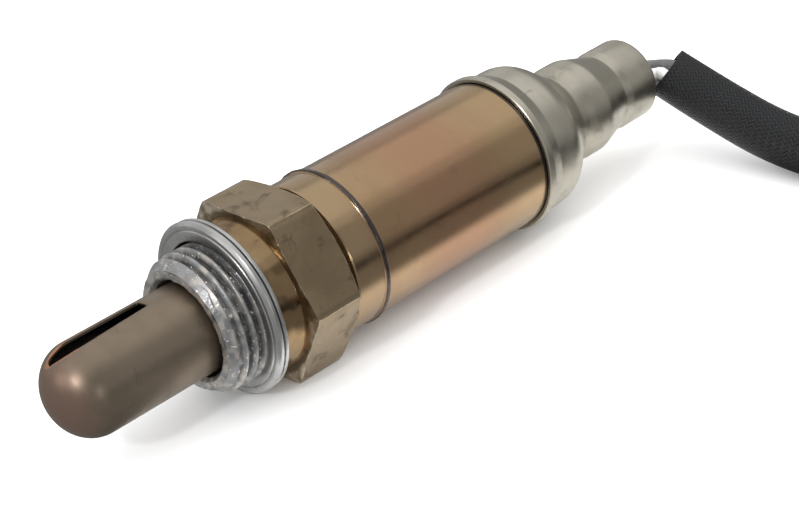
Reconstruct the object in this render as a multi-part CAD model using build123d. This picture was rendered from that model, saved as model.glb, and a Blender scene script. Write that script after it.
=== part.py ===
"""Screw-in exhaust oxygen sensor with its sheathed lead and plug, in millimetres.

The sensor lies on one hexagon flat. +X runs along its axis from the nose to the lead, and +Z is
up. The origin is on the axis, at the rear end of the thread, just ahead of the seal ring. The lead leaves the
rear cap, drops to the surface, makes one turn and ends in a four-way plug inside that turn.
"""
import math
import os

from build123d import *

# ---------------------------------------------------------------- fits
slip = 0.05            # radial clearance between parts that are stacked or pushed together
seat_gap = 0.02        # axial clearance between stacked faces
loose = 0.1            # clearance of parts that sit loosely

# ---------------------------------------------------------------- threaded shell
thread_d = 18.0
thread_len = 4.7
lead_in_depth = 1.2    # radial size of the lead-in cone at the end of the thread
lead_in_len = 1.6
ring_len = 2.0         # axial room of the seal ring
neck_d = 17.6          # under the seal ring
neck_taper = 0.2
collar_d = 19.8
collar_len = 3.4
hex_af = 22.0
hex_len = 7.5
hex_front_angle = 8.0  # turned chamfers of the hexagon, from the plane of its faces
hex_rear_angle = 20.0
hex_face_share = 0.985  # diameter of the turned face circle over the distance across flats
barrel_d = 19.2        # rear part of the shell, inside the sleeve
barrel_len = 10.7
front_bore_d = 13.4
main_bore_d = 15.4
tube_seat_x = 3.0      # shoulder that the protection tube's flange rests on
bore_edge = 0.5
rolled_lip = 1.3
rolled_lip_bore_d = 12.6

# ---------------------------------------------------------------- seal ring
seal_ring_d = 22.8
seal_ring_bore_d = 19.0
seal_front_share = 0.56   # thickness of the front fold over the ring's thickness
seal_groove_depth = 0.75
seal_groove_width = 0.24
seal_sheet = 0.5

# ---------------------------------------------------------------- protection tube
tube_d = 11.86
tube_wall = 0.4
nose_reach = 24.3      # from the seat to the tip of the dome
dome_len = 5.1
dome_arc = 86.0        # arc of a dome, short of the axis by a small flat
tube_flange_d = 15.2
tube_flange_len = 0.45
slot_rear_x = -9.1
slot_front_x = -23.0
slot_far_y = 1.08      # straight edge of a slot
slot_near_rear_y = -0.45
slot_near_front_y = -1.95
slot_corner = 0.5
slot_cut_z = 0.6       # height above the axis from which a slot is cut
flap_depth = 1.5       # how far the pressed flap reaches into the tube
flap_wall = 0.4
flap_tilt = 62.0

# ---------------------------------------------------------------- ceramic stack
washer_len = 0.5
washer_bore_d = 11.8
thimble_reach = 20.6   # from the seat to the tip of the sensing thimble
thimble_tip_d = 5.6
thimble_neck_d = 7.2
thimble_tip_len = 3.0
thimble_flange_d = 14.6
thimble_flange_len = 4.5
thimble_rear_d = 10.4
thimble_rear_x = 21.2
thimble_bore_d = 3.8
thimble_mouth_d = 6.4
thimble_mouth_x = 12.0
thimble_wall_end = 1.3
powder_len = 4.8
bush_len = 6.0
crimp_ring_len = 1.1
heater_d = 3.0
heater_rear_x = 33.0
contact_ring_len = 2.2
contact_ring_d = 10.0
contact_strip = 0.4
contact_strip_width = 2.2

# ---------------------------------------------------------------- contact holder and terminals
holder_x = 27.0
holder_len = 13.0
holder_d = 14.4
holder_edge = 0.6
holder_band_d = 16.6
holder_band_len = 3.0
terminal_pcd = 8.4
terminal_bore_d = 2.7
blade_width = 1.8
blade_thick = 0.5
crimp_d = 2.5
crimp_len = 7.0
crimp_rear_x = 46.5
spring_wall = 0.35
spring_waves = 9
spring_start = 1.0     # from the front of the holder
spring_len = 8.0

# ---------------------------------------------------------------- sleeve and rear cap
sleeve_gap = 1.1       # between the hexagon and the front edge of the sleeve
sleeve_d = 20.7
sleeve_wall = 0.7
sleeve_len = 34.3
sleeve_edge = 0.25
bead_x = 18.7
bead_width = 1.0
bead_height = 0.42
cap_wall = 0.7
lip_d = 22.0
lip_len = 1.0
lip_overlap = 0.4      # how far the cap's lip covers the end of the sleeve
lip_edge = 0.3
cap_collar_d = 20.6
cap_taper_end = 2.9    # stations of the cap, from the front of its lip
cap_collar_end = 6.9
cap_waist_x = 12.8
cap_waist_d = 12.9
cap_bulge_x = 15.6
cap_bulge_d = 13.8
cap_groove_x = 21.9
cap_groove_d = 11.0
cap_end_d = 11.7
cap_len = 28.1
cap_mouth_edge = 0.9
cap_mouth_bore_d = 9.2
grommet_start = 12.6
grommet_recess = 0.5

# ---------------------------------------------------------------- lead
floor_z = -hex_af / 2
wire_d = 1.9
wire_pitch = 2.7       # wires stand at the corners of a square of this side
wire_run_out = 1.8
wire_bend_share = 0.9  # bend radius of a wire over the leg into the sheath
sheath_d = 7.4
sheath_r = sheath_d / 2
lead_z = floor_z + sheath_r
sheath_route = [(80.9, -3.4, -0.3), (80.9, -12.0, -3.3), (81.1, -23.0, -6.2), (81.5, -34.5, lead_z),
                (82.0, -46.5, lead_z), (82.65, -58.5, lead_z), (83.35, -70.5, lead_z),
                (83.9, -82.5, lead_z), (84.2, -94.5, lead_z), (84.2, -105.0, lead_z), (83.6, -113.0, lead_z)]
coil_x = 43.3
coil_y = -107.4
coil_r = 40.8          # centre line of the lead in its turn
tail_angle = 66.0      # place on the turn where its end leaves it inwards
tail_heading = -38.7
tail_turns = (21.4, 19.9, 24.9, 24.1, 26.7, 25.4, 14.3)   # corners inside the turn
tail_runs = (12.0, 12.0, 12.0, 12.0, 12.0, 12.0, 11.3, 6.6)
tie_width = 3.6
tie_wall = 0.9
tie_angle = 1.0        # place of the tie on the turn
strand_gap = 1.3       # between the two strands in the tie
arc_share = 0.45       # arc radius over the shorter run, before the turn's angle

# ---------------------------------------------------------------- plug
end_sleeve_len = 4.5
end_sleeve_d = 9.0
plug_wire_len = 2.5
plug_len = 21.0
plug_w = 16.0
plug_h = 13.0
plug_edge = 1.6
plug_nose_len = 11.0
plug_nose_w = 12.6
plug_nose_h = 9.8
plug_frame = 1.2      # how much narrower the lock's recess is than the nose
plug_rim = 1.3
plug_rim_len = 2.0
way_pitch_w = 5.2
way_pitch_h = 4.2
way_w = 2.6
way_h = 1.9
rib_w = 1.4
rib_h = 0.9
latch_len = 15.0
latch_w = 5.6
latch_t = 1.3
latch_gap = 0.9
latch_hook = 1.1
lock_len = 2.2
seal_rib_count = 3
nose_seal_len = 2.7
nose_seal_base = 0.5     # width added by the seal's base, and by its ribs
nose_seal_ribs = 0.9
rear_seal_len = 3.0
rear_seal_w = 12.8
rear_seal_h = 9.8
pin_len = 14.0
pin_wall = 0.35

# ---------------------------------------------------------------- stations along the axis
hex_x = ring_len + collar_len
hex_rear_x = hex_x + hex_len
barrel_rear_x = hex_rear_x + barrel_len
sleeve_x = hex_rear_x + sleeve_gap
sleeve_rear_x = sleeve_x + sleeve_len
cap_x = sleeve_rear_x - lip_overlap
cap_rear_x = cap_x + cap_len
tube_r = tube_d / 2
washer_x = tube_seat_x + tube_flange_len + seat_gap
thimble_flange_x = washer_x + washer_len + seat_gap
thimble_shoulder_x = thimble_flange_x + thimble_flange_len
bush_x = thimble_shoulder_x + powder_len + seat_gap
crimp_ring_x = bush_x + bush_len + seat_gap
rolled_lip_x = crimp_ring_x + crimp_ring_len + seat_gap


def solid_of_turn(outline):
    """Turn a closed outline of (x, radius) points about the sensor's axis."""
    face = make_face(Polyline(*outline, close=True))
    return revolve(face, Axis.X, 360)


def turned_path(points, radii):
    """Turn the area between the axis and a filleted line of (x, radius) points."""
    line = FilletPolyline(*points, radius=radii)
    ends = [(points[-1][0], 0), (points[0][0], 0)]
    face = make_face([line, Polyline(points[-1], *ends, points[0])])
    return revolve(face, Axis.X, 360)


def rod(x0, x1, diameter, y=0.0, z=0.0):
    """A cylinder along X between two stations."""
    return Pos((x0 + x1) / 2, y, z) * Rot(0, 90, 0) * Cylinder(diameter / 2, x1 - x0)


def domed_rod(tip_x, rear_x, radius, dome):
    """A rod along X whose front end is half an ellipsoid, turned in one piece."""
    tip_arc = EllipticalCenterArc((tip_x + dome, 0), dome, radius, start_angle=90, arc_size=dome_arc)
    flat = tip_arc @ 1
    rest = Polyline(flat, (flat.X, 0), (rear_x, 0), (rear_x, radius), (tip_x + dome, radius))
    return revolve(make_face([tip_arc, rest]), Axis.X, 360)


# ---------------------------------------------------------------- sensor body
def sensor_shell():
    """Threaded shell with collar, hexagon, barrel and the lip rolled over the ceramic stack."""
    thread_r = thread_d / 2
    bore_r = front_bore_d / 2
    main_r = main_bore_d / 2
    body = solid_of_turn([
        (-thread_len, bore_r + bore_edge), (-thread_len, thread_r - lead_in_depth),
        (-thread_len + lead_in_len, thread_r), (0, thread_r), (neck_taper, neck_d / 2),
        (ring_len, neck_d / 2), (ring_len, collar_d / 2),
        (hex_x + slip, collar_d / 2), (hex_x + slip, barrel_d / 2), (barrel_rear_x, barrel_d / 2),
        (barrel_rear_x, rolled_lip_bore_d / 2), (rolled_lip_x, rolled_lip_bore_d / 2),
        (rolled_lip_x, main_r), (tube_seat_x, main_r), (tube_seat_x, bore_r),
        (-thread_len + bore_edge, bore_r)])
    return body + hexagon() - rod(tube_seat_x, rolled_lip_x, main_bore_d)


def hexagon():
    """Hexagon lying on a flat, with its corners turned off at both ends."""
    prism = Pos(hex_x, 0, 0) * Rot(0, 90, 0) * Rot(0, 0, 90) * extrude(
        RegularPolygon(hex_af / 2, 6, major_radius=False), hex_len)
    corner_r = hex_af / math.sqrt(3) + loose
    face_r = hex_face_share * hex_af / 2
    front = (corner_r - face_r) * math.tan(math.radians(hex_front_angle))
    rear = (corner_r - face_r) * math.tan(math.radians(hex_rear_angle))
    cone = solid_of_turn([(hex_x, 0), (hex_x, face_r), (hex_x + front, corner_r),
                          (hex_rear_x - rear, corner_r), (hex_rear_x, face_r), (hex_rear_x, 0)])
    return prism & cone


def seal_ring():
    """Folded sheet ring, loose on the thread, resting on the same surface as the hexagon."""
    outer_r = seal_ring_d / 2
    inner_r = seal_ring_bore_d / 2
    lift = outer_r + floor_z
    split = ring_len * seal_front_share
    half_groove = seal_groove_width / 2
    rear_x = ring_len - seat_gap
    edge = seal_sheet * 0.7
    ring = solid_of_turn([
        (loose, inner_r), (loose, outer_r - edge * 2), (loose + edge * 0.6, outer_r - edge * 0.6),
        (loose + edge * 1.6, outer_r),
        (split - half_groove, outer_r - edge * 0.3), (split, outer_r - seal_groove_depth),
        (split + half_groove, outer_r - edge * 0.3), (rear_x - edge * 0.6, outer_r),
        (rear_x, outer_r - edge), (rear_x, inner_r + edge), (split + seal_sheet / 2, inner_r + edge),
        (split + seal_sheet / 2, outer_r - seal_groove_depth - seal_sheet),
        (split - seal_sheet / 2, outer_r - seal_groove_depth - seal_sheet),
        (split - seal_sheet / 2, inner_r)])
    return Pos(0, 0, lift) * ring


def tube_slot(side):
    """Cutter for one slot of the protection tube, above (side 1) or below (side -1) the axis."""
    outline = Polyline((slot_rear_x, slot_far_y), (slot_rear_x, slot_near_rear_y),
                       (slot_front_x, slot_near_front_y), (slot_front_x - slot_corner, 0),
                       (slot_front_x + slot_corner * 2, slot_far_y), close=True)
    cutter = Pos(0, 0, slot_cut_z) * extrude(make_face(outline), tube_d)
    return cutter if side > 0 else Rot(180, 0, 0) * mirror(cutter, Plane.XZ)


def slot_flap(side):
    """Flap that was pressed inwards from the sloping edge of a slot."""
    run = Vector(slot_front_x - slot_rear_x, slot_near_front_y - slot_near_rear_y, 0)
    length = run.length - slot_corner * 3
    heading = math.degrees(math.atan2(run.Y, run.X))
    inner_r = tube_r - tube_wall / 2
    height = math.sqrt(inner_r ** 2 - slot_near_front_y ** 2)
    plate = Box(length, flap_depth, flap_wall, align=(Align.MIN, Align.MAX, Align.MAX))
    flap = (Pos(slot_rear_x - slot_corner, slot_near_rear_y, height) * Rot(0, 0, heading)
            * Rot(flap_tilt, 0, 0) * plate)
    flap = flap & domed_rod(slot_front_x, 0, inner_r, dome_len)
    return flap if side > 0 else mirror(flap, Plane.XY)


def protection_tube():
    """Drawn tube with a domed end, a flange, and two long slots with pressed flaps."""
    inner_r = tube_r - tube_wall
    rear_x = tube_seat_x + tube_flange_len
    tube = domed_rod(-nose_reach, rear_x, tube_r, dome_len)
    tube += rod(tube_seat_x, rear_x, tube_flange_d)
    tube -= domed_rod(-nose_reach + tube_wall, rear_x + loose, inner_r, dome_len - tube_wall)
    for side in (1, -1):
        tube = tube - tube_slot(side) + slot_flap(side)
    return tube


def sensing_thimble():
    """Closed-end ceramic thimble with the flange that seals it in the shell."""
    neck_x = thimble_flange_x - (tube_r - tube_wall - thimble_neck_d / 2) - loose
    tip_r = thimble_tip_d / 2
    flange_r = thimble_flange_d / 2
    rear_r = thimble_rear_d / 2
    tip_x = -thimble_reach
    tip_arc = EllipticalCenterArc((tip_x + thimble_tip_len, 0), thimble_tip_len, tip_r,
                                  start_angle=90, arc_size=dome_arc)
    flat = tip_arc @ 1
    line = Polyline((tip_x + thimble_tip_len, tip_r), (neck_x, thimble_neck_d / 2),
                    (thimble_flange_x, tube_r - tube_wall - loose), (thimble_flange_x, flange_r),
                    (thimble_shoulder_x - (flange_r - rear_r) / 2, flange_r),
                    (thimble_shoulder_x + (flange_r - rear_r) / 2, rear_r),
                    (thimble_rear_x, rear_r), (thimble_rear_x, 0), (flat.X, 0), flat)
    body = revolve(make_face([tip_arc, line]), Axis.X, 360)
    bore_tip = tip_x + thimble_wall_end
    body -= domed_rod(bore_tip, thimble_rear_x + loose, thimble_bore_d / 2, thimble_bore_d / 2)
    return body - rod(thimble_mouth_x, thimble_rear_x + loose, thimble_mouth_d)


def thimble_washer():
    """Sealing washer between the tube's flange and the thimble."""
    return rod(washer_x, washer_x + washer_len, tube_flange_d) - rod(
        washer_x, washer_x + washer_len, washer_bore_d)


def packing_powder():
    """Pressed powder ring that fills the shell behind the thimble's shoulder."""
    outer_r = main_bore_d / 2 - slip
    inner_r = thimble_rear_d / 2 + slip
    half = (thimble_flange_d - thimble_rear_d) / 4
    rear_x = thimble_shoulder_x + powder_len
    return solid_of_turn([(thimble_shoulder_x - half + slip, outer_r),
                          (thimble_shoulder_x - half + slip, thimble_flange_d / 2 + slip),
                          (thimble_shoulder_x + half + slip, inner_r), (rear_x, inner_r), (rear_x, outer_r)])


def packing_bush():
    """Ceramic bush that presses on the powder."""
    return ring_piece(bush_x, bush_len)


def crimp_ring():
    """Soft ring under the rolled lip of the shell."""
    return ring_piece(crimp_ring_x, crimp_ring_len)


def ring_piece(x, length):
    """Ring that fills the room between the thimble and the shell."""
    return rod(x, x + length, main_bore_d - 2 * slip) - rod(x, x + length, thimble_rear_d + 2 * slip)


def heater_rod():
    """Ceramic heater rod that stands in the bore of the thimble."""
    return domed_rod(-thimble_reach + thimble_wall_end + loose, heater_rear_x, heater_d / 2, heater_d / 2)


def signal_contact():
    """Spring ring on the mouth of the thimble, with a strip that leads to the holder."""
    x0 = thimble_rear_x + seat_gap
    ring = rod(x0, x0 + contact_ring_len, contact_ring_d) - rod(x0, x0 + contact_ring_len, thimble_mouth_d)
    strip_len = holder_x - x0 - seat_gap
    strip = Pos(x0 + strip_len / 2, 0, contact_ring_d / 2 - contact_strip) * Box(
        strip_len, contact_strip_width, contact_strip)
    return ring + strip


# ---------------------------------------------------------------- contact holder
def terminal_places():
    """The four terminal positions in the holder, as (y, z)."""
    side = terminal_pcd / 2 * math.sqrt(0.5)
    return [(sy * side, sz * side) for sy in (-1, 1) for sz in (1, -1)]


def contact_holder():
    """Ceramic holder with a middle bore for the heater and four bores for the terminals."""
    rear_x = holder_x + holder_len
    radius = holder_d / 2
    body = solid_of_turn([(holder_x, 0), (holder_x, radius - holder_edge), (holder_x + holder_edge, radius),
                          (rear_x - holder_band_len, radius), (rear_x - holder_band_len, holder_band_d / 2),
                          (rear_x, holder_band_d / 2), (rear_x, 0)])
    body -= rod(holder_x - loose, rear_x + loose, heater_d + 2 * loose)
    for y, z in terminal_places():
        body -= rod(holder_x - loose, rear_x + loose, terminal_bore_d, y, z)
    return body


def terminal(y, z, front_x):
    """Blade in a bore of the holder, with the barrel that is crimped on its wire."""
    crimp_x = crimp_rear_x - crimp_len
    blade = Pos((front_x + crimp_x) / 2, y, z) * Box(crimp_x - front_x, blade_width, blade_thick)
    barrel = rod(crimp_x, crimp_rear_x, crimp_d, y, z) - rod(
        crimp_x + blade_thick, crimp_rear_x + loose, wire_d + 2 * slip, y, z)
    return blade + barrel


def terminals(side):
    """The two terminals at one side of the holder (-1 heater, 1 signal)."""
    return [terminal(y, z, holder_x + holder_edge) for y, z in terminal_places() if y * side > 0]


def holder_spring():
    """Corrugated spring sleeve that centres the holder in the protective sleeve."""
    inner_r = holder_d / 2 + slip
    outer_r = sleeve_d / 2 - sleeve_wall - slip
    middle = (inner_r + outer_r) / 2
    depth = (outer_r - inner_r - spring_wall) / 2
    steps = spring_waves * 4
    walls = []
    for half_wall in (spring_wall / 2, -spring_wall / 2):
        points = []
        for i in range(steps):
            angle = 2 * math.pi * i / steps
            radius = middle + half_wall + depth * math.cos(angle * spring_waves)
            points.append((radius * math.cos(angle), radius * math.sin(angle)))
        walls.append(extrude(make_face(Polyline(*points, close=True)), spring_len))
    return Pos(holder_x + spring_start, 0, 0) * Rot(0, 90, 0) * (walls[0] - walls[1])


# ---------------------------------------------------------------- sleeve and rear cap
def protective_sleeve():
    """Thin sleeve over the barrel, with its welded bead."""
    outer_r = sleeve_d / 2
    inner_r = outer_r - sleeve_wall
    half = bead_width / 2
    line = FilletPolyline((sleeve_x, outer_r - sleeve_edge), (sleeve_x + sleeve_edge, outer_r),
                          (bead_x - half, outer_r), (bead_x - half * 0.45, outer_r + bead_height),
                          (bead_x + half * 0.45, outer_r + bead_height), (bead_x + half, outer_r),
                          (sleeve_rear_x, outer_r), radius=[0, 0.05, 0.12, 0.12, 0.05])
    rest = Polyline((sleeve_rear_x, outer_r), (sleeve_rear_x, inner_r), (sleeve_x, inner_r),
                    (sleeve_x, outer_r - sleeve_edge))
    return revolve(make_face([line, rest]), Axis.X, 360)


def cap_line(inset):
    """Filleted outline of the rear cap, moved towards the axis by an inset."""
    stations = [
        (cap_taper_end, cap_collar_d, 1.0), (cap_collar_end, cap_collar_d, 4.2),
        (cap_waist_x - 0.9, cap_waist_d, 1.2), (cap_waist_x + 0.3, cap_waist_d, 1.2),
        (cap_bulge_x - 1.2, cap_bulge_d, 1.6), (cap_bulge_x + 1.6, cap_bulge_d, 3.0),
        (cap_groove_x, cap_groove_d, 0.5), (cap_groove_x + 1.1, cap_end_d, 0.8)]
    points = [(cap_x + x, d / 2 - inset) for x, d, _ in stations]
    return points, [r for _, _, r in stations]


def rear_cap():
    """Drawn and rolled cap that closes the sleeve and grips the grommet."""
    lip_r = lip_d / 2
    seat_r = sleeve_d / 2 + slip
    points, radii = cap_line(0)
    outer = turned_path([(cap_x, lip_r - lip_edge), (cap_x + lip_edge, lip_r), (cap_x + lip_len, lip_r)]
                        + points + [(cap_rear_x, cap_end_d / 2), (cap_rear_x, cap_mouth_bore_d / 2)],
                        [0.1, 0.3] + radii + [cap_mouth_edge])
    points, radii = cap_line(cap_wall)
    floor_x = cap_rear_x - cap_wall
    room = turned_path([(sleeve_rear_x, points[0][1])] + points[1:] + [(floor_x, cap_end_d / 2 - cap_wall)],
                       [max(r - 0.2, 0.2) for r in radii[1:]])
    cap = outer - room
    cap -= rod(floor_x - loose, cap_rear_x + loose, cap_mouth_bore_d)
    return cap - rod(cap_x - loose, sleeve_rear_x + seat_gap, 2 * seat_r)


def wire_grommet():
    """Rubber grommet gripped in the rolled neck of the cap, with four wire bores."""
    points, radii = cap_line(cap_wall + slip)
    keep = [i for i, p in enumerate(points) if p[0] > cap_x + grommet_start]
    start = (cap_x + grommet_start, cap_waist_d / 2 - cap_wall - slip)
    floor_x = cap_rear_x - cap_wall - seat_gap
    body = turned_path([start] + [points[i] for i in keep] + [(floor_x, cap_end_d / 2 - cap_wall - slip)],
                       [max(radii[i] - 0.2, 0.2) for i in keep])
    body += rod(floor_x - loose, cap_rear_x - grommet_recess, cap_mouth_bore_d - 2 * slip)
    for y, z in wire_places():
        body -= rod(cap_x, cap_rear_x + loose, wire_d + 2 * slip, y, z)
    return body


# ---------------------------------------------------------------- lead
def wire_places():
    """The four wires in the grommet, as (y, z), the heater pair at -Y."""
    half = wire_pitch / 2
    return [(sy * half, sz * half) for sy in (-1, 1) for sz in (1, -1)]


def wire(place, crimp_place):
    """One wire, from its crimp through the grommet to the open end of the sheath."""
    y, z = place
    start = Vector(*sheath_route[0])
    heading = (Vector(*sheath_route[1]) - start).normalized()
    side = Vector(1, 0, 0)
    up = side.cross(heading).normalized() * -1
    end = start + side * y + up * z
    reach = (y - end.Y) / -heading.Y
    corner = end - heading * reach
    crimp_in = crimp_rear_x - crimp_len + blade_thick + slip
    points = [(crimp_in, *crimp_place), (crimp_rear_x + wire_run_out, *crimp_place),
              (cap_x + grommet_start - wire_run_out, y, z), (cap_rear_x, y, z), tuple(corner), tuple(end)]
    path = FilletPolyline(*points, radius=[wire_d, wire_d, wire_d, wire_bend_share * reach])
    plane = Plane(origin=points[0], z_dir=(1, 0, 0))
    return sweep(plane * Circle(wire_d / 2), path=path)


def wires(side):
    """The two wires at one side of the grommet (-1 heater, 1 signal)."""
    pairs = list(zip(wire_places(), terminal_places()))
    return [wire(place, crimp) for place, crimp in pairs if place[0] * side > 0]


def arc_radii(points):
    """Arc radius for each corner of a route: as large as its two runs allow."""
    radii = []
    vectors = [Vector(*p) for p in points]
    for before, corner, after in zip(vectors, vectors[1:], vectors[2:]):
        turn = math.radians((corner - before).get_angle(after - corner))
        shorter = min((corner - before).length, (after - corner).length)
        radii.append(arc_share * shorter / math.tan(turn / 2))
    return radii


def lead_tube(name, points):
    """A length of sheathed lead along straight runs and tangent arcs."""
    radii = arc_radii(points)
    path = FilletPolyline(*points, radius=radii)
    heading = Vector(*points[1]) - Vector(*points[0])
    tube = sweep(Plane(origin=points[0], z_dir=heading) * Circle(sheath_r), path=path)
    expected = math.pi * sheath_r ** 2 * path.length
    print(name, "arc radii", [round(r, 1) for r in radii], "length", round(path.length, 1),
          "volume share", round(tube.volume / expected, 4))
    return tube


def lead_sheath():
    """The lead from the wires to the coil."""
    return lead_tube("lead_sheath", sheath_route)


def lead_coil():
    """Outer shape of the single turn of the lead."""
    section = Pos(coil_r, lead_z) * Circle(sheath_r)
    return Pos(coil_x, coil_y, 0) * revolve(Plane.XZ * section, Axis.Z, 360)


def on_coil(piece):
    """Place a piece that was built across the coil's section, at the angle of the tie."""
    return Pos(coil_x, coil_y, 0) * Rot(0, 0, tie_angle) * piece


def coil_tie():
    """Releasable strap round the two strands where the turn closes, with its head on top."""
    width = 2 * sheath_d + strand_gap
    middle = coil_r - (sheath_d + strand_gap) / 2
    outer = RectangleRounded(width + 2 * tie_wall, sheath_d + tie_wall, sheath_r * 0.8)
    inner = RectangleRounded(width + slip, sheath_d + slip, sheath_r * 0.7)
    top_z = sheath_r + tie_wall
    band = Rot(90, 0, 0) * extrude(Pos(0, tie_wall / 2) * outer - inner, tie_width / 2, both=True)
    head = Pos(0, 0, top_z - loose) * Box(
        tie_width * 1.5, tie_width * 1.4, tie_wall * 3, align=(Align.CENTER, Align.CENTER, Align.MIN))
    tongue = Pos(tie_width / 2, 0, top_z - loose) * Box(
        tie_width * 2, tie_width * 0.9, tie_wall, align=(Align.MIN, Align.CENTER, Align.MIN))
    tie = band + fillet(head.edges().filter_by(Axis.Z), 0.8) + tongue
    return on_coil(Pos(middle, 0, lead_z) * tie)


def tail_route():
    """Points of the lead from the end of the turn to the plug, inside the turn, and its last heading."""
    heading = tail_heading
    angle = math.radians(tail_angle)
    points = [(coil_x + coil_r * math.cos(angle), coil_y + coil_r * math.sin(angle), lead_z)]
    for run, turn in zip(tail_runs, (*tail_turns, 0.0)):
        x, y, z = points[-1]
        angle = math.radians(heading)
        points.append((x + run * math.cos(angle), y + run * math.sin(angle), z))
        heading -= turn
    return points, heading


def lead_tail():
    """The lead from the coil to the plug's end sleeve."""
    points, _ = tail_route()
    return lead_tube("lead_tail", points)


# ---------------------------------------------------------------- plug
def on_plug(piece):
    """Place a piece that was built along +X from the end of the lead's tail."""
    points, heading = tail_route()
    return Pos(points[-1][0], points[-1][1], 0) * Rot(0, 0, heading) * piece


def end_sleeve():
    """Shrunk sleeve over the end of the braid."""
    body = rod(0, end_sleeve_len, end_sleeve_d, 0, lead_z + (end_sleeve_d - sheath_d) / 2)
    return on_plug(fillet(body.edges(), 0.5))


plug_x = end_sleeve_len + plug_wire_len
plug_z = floor_z + plug_h / 2


def way_places():
    """The four ways of the plug, as (y, z)."""
    return [(sy * way_pitch_w / 2, plug_z + sz * way_pitch_h / 2) for sy in (-1, 1) for sz in (1, -1)]


def plug_wires():
    """Four short wires between the end sleeve and the plug."""
    pieces = []
    for y, z in way_places():
        start = (end_sleeve_len, y * 0.5, lead_z + (end_sleeve_d - sheath_d) / 2 + (z - plug_z) * 0.55)
        end = (plug_x, y, z)
        middle = ((start[0] + end[0]) / 2, (start[1] + end[1]) / 2, (start[2] + end[2]) / 2)
        length = (Vector(*end) - Vector(*start)).length
        plane = Plane(origin=start, z_dir=Vector(*end) - Vector(*start))
        pieces.append(on_plug(plane * Cylinder(wire_d / 2 * 0.9, length, align=(
            Align.CENTER, Align.CENTER, Align.MIN))))
    return pieces


def block(x0, x1, width, height, edge):
    """A block along X with rounded long edges, centred on the plug's axis."""
    section = RectangleRounded(height, width, edge) if edge else Rectangle(height, width)
    return Pos(x0, 0, plug_z) * Rot(0, 90, 0) * extrude(section, x1 - x0)


def plug_housing():
    """Moulded housing: body, nose with coding ribs, rim, latch and four ways."""
    nose_x = plug_x + plug_len - plug_nose_len
    body = block(plug_x, nose_x, plug_w, plug_h, plug_edge)
    body += block(nose_x - loose, plug_x + plug_len, plug_nose_w, plug_nose_h, plug_edge * 0.6)
    body -= block(plug_x - loose, plug_x + rear_seal_len, rear_seal_w, rear_seal_h, plug_edge * 0.5)
    for side in (-1, 1):
        body += Pos(plug_x + plug_len, side * plug_nose_w / 4, plug_z - plug_nose_h / 2 + loose) * Box(
            plug_nose_len - nose_seal_len - 2 * loose, rib_w, rib_h + loose,
            align=(Align.MAX, Align.CENTER, Align.MAX))
        body += Pos(nose_x - plug_rim_len, side * (plug_w / 2 - loose), plug_z) * Box(
            plug_rim_len, plug_rim + loose, plug_h * 0.6, align=(Align.MAX, Align.CENTER, Align.CENTER))
    lock_x = plug_x + plug_len - lock_len
    body -= block(lock_x, plug_x + plug_len + loose, plug_nose_w - plug_frame,
                  plug_nose_h - plug_frame, plug_edge * 0.3)
    for y, z in way_places():
        body -= Pos((plug_x + plug_len) / 2 + plug_x / 2, y, z) * Box(plug_len + 1, way_w, way_h)
    return on_plug(body + plug_latch())


def plug_latch():
    """Sprung latch arm over the nose, joined to the front of the body."""
    top_z = plug_z + plug_nose_h / 2
    arm_z = top_z + latch_gap
    arm = Pos(plug_x + plug_len - latch_len, 0, arm_z) * Box(
        latch_len, latch_w, latch_t, align=(Align.MIN, Align.CENTER, Align.MIN))
    hook = Pos(plug_x + plug_len, 0, arm_z + latch_t - loose) * Box(
        latch_hook * 2, latch_w * 0.7, latch_hook + loose, align=(Align.MAX, Align.CENTER, Align.MIN))
    return arm + hook


def plug_lock():
    """Secondary lock plate in the front of the nose."""
    lock_x = plug_x + plug_len - lock_len + seat_gap
    plate = block(lock_x, plug_x + plug_len, plug_nose_w - plug_frame - 2 * slip,
                  plug_nose_h - plug_frame - 2 * slip, plug_edge * 0.3)
    for y, z in way_places():
        plate -= Pos(lock_x + lock_len / 2, y, z) * Box(lock_len * 2, way_w, way_h)
    return on_plug(plate)


def plug_nose_seal():
    """Ribbed seal round the root of the nose."""
    nose_x = plug_x + plug_len - plug_nose_len + seat_gap
    width = plug_nose_w + 2 * slip
    height = plug_nose_h + 2 * slip
    seal = block(nose_x, nose_x + nose_seal_len, width + nose_seal_base, height + nose_seal_base,
                 plug_edge * 0.6)
    for i in range(seal_rib_count):
        x = nose_x + (i + 0.5) * nose_seal_len / seal_rib_count
        seal += block(x - loose * 2, x + loose * 2, width + nose_seal_ribs, height + nose_seal_ribs,
                      plug_edge * 0.6)
    seal -= block(nose_x - loose, nose_x + nose_seal_len + loose, width, height, plug_edge * 0.6)
    return on_plug(seal)


def plug_rear_seal():
    """Family seal in the rear of the housing, with four wire bores."""
    seal = block(plug_x, plug_x + rear_seal_len - seat_gap, rear_seal_w - 2 * slip,
                 rear_seal_h - 2 * slip, plug_edge * 0.5)
    for y, z in way_places():
        seal -= rod(plug_x + 1.0, plug_x + rear_seal_len + 1, wire_d, y, z)
    return on_plug(seal)


def plug_terminals():
    """Four box terminals in the ways of the housing."""
    x1 = plug_x + plug_len - lock_len - seat_gap
    pieces = []
    for y, z in way_places():
        width = way_w - 2 * slip
        height = way_h - 2 * slip
        shell = Pos(x1 - pin_len / 2, y, z) * Box(pin_len, width, height)
        shell -= Pos(x1 - pin_len / 2 + pin_wall, y, z) * Box(pin_len, width - 2 * pin_wall,
                                                              height - 2 * pin_wall)
        pieces.append(on_plug(shell))
    return pieces


def save(name, solid):
    """Write one node; several separate solids go in as one group."""
    shape = Compound(children=solid) if isinstance(solid, list) else solid
    export_step(shape, os.path.join("parts", name + ".step"))


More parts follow.
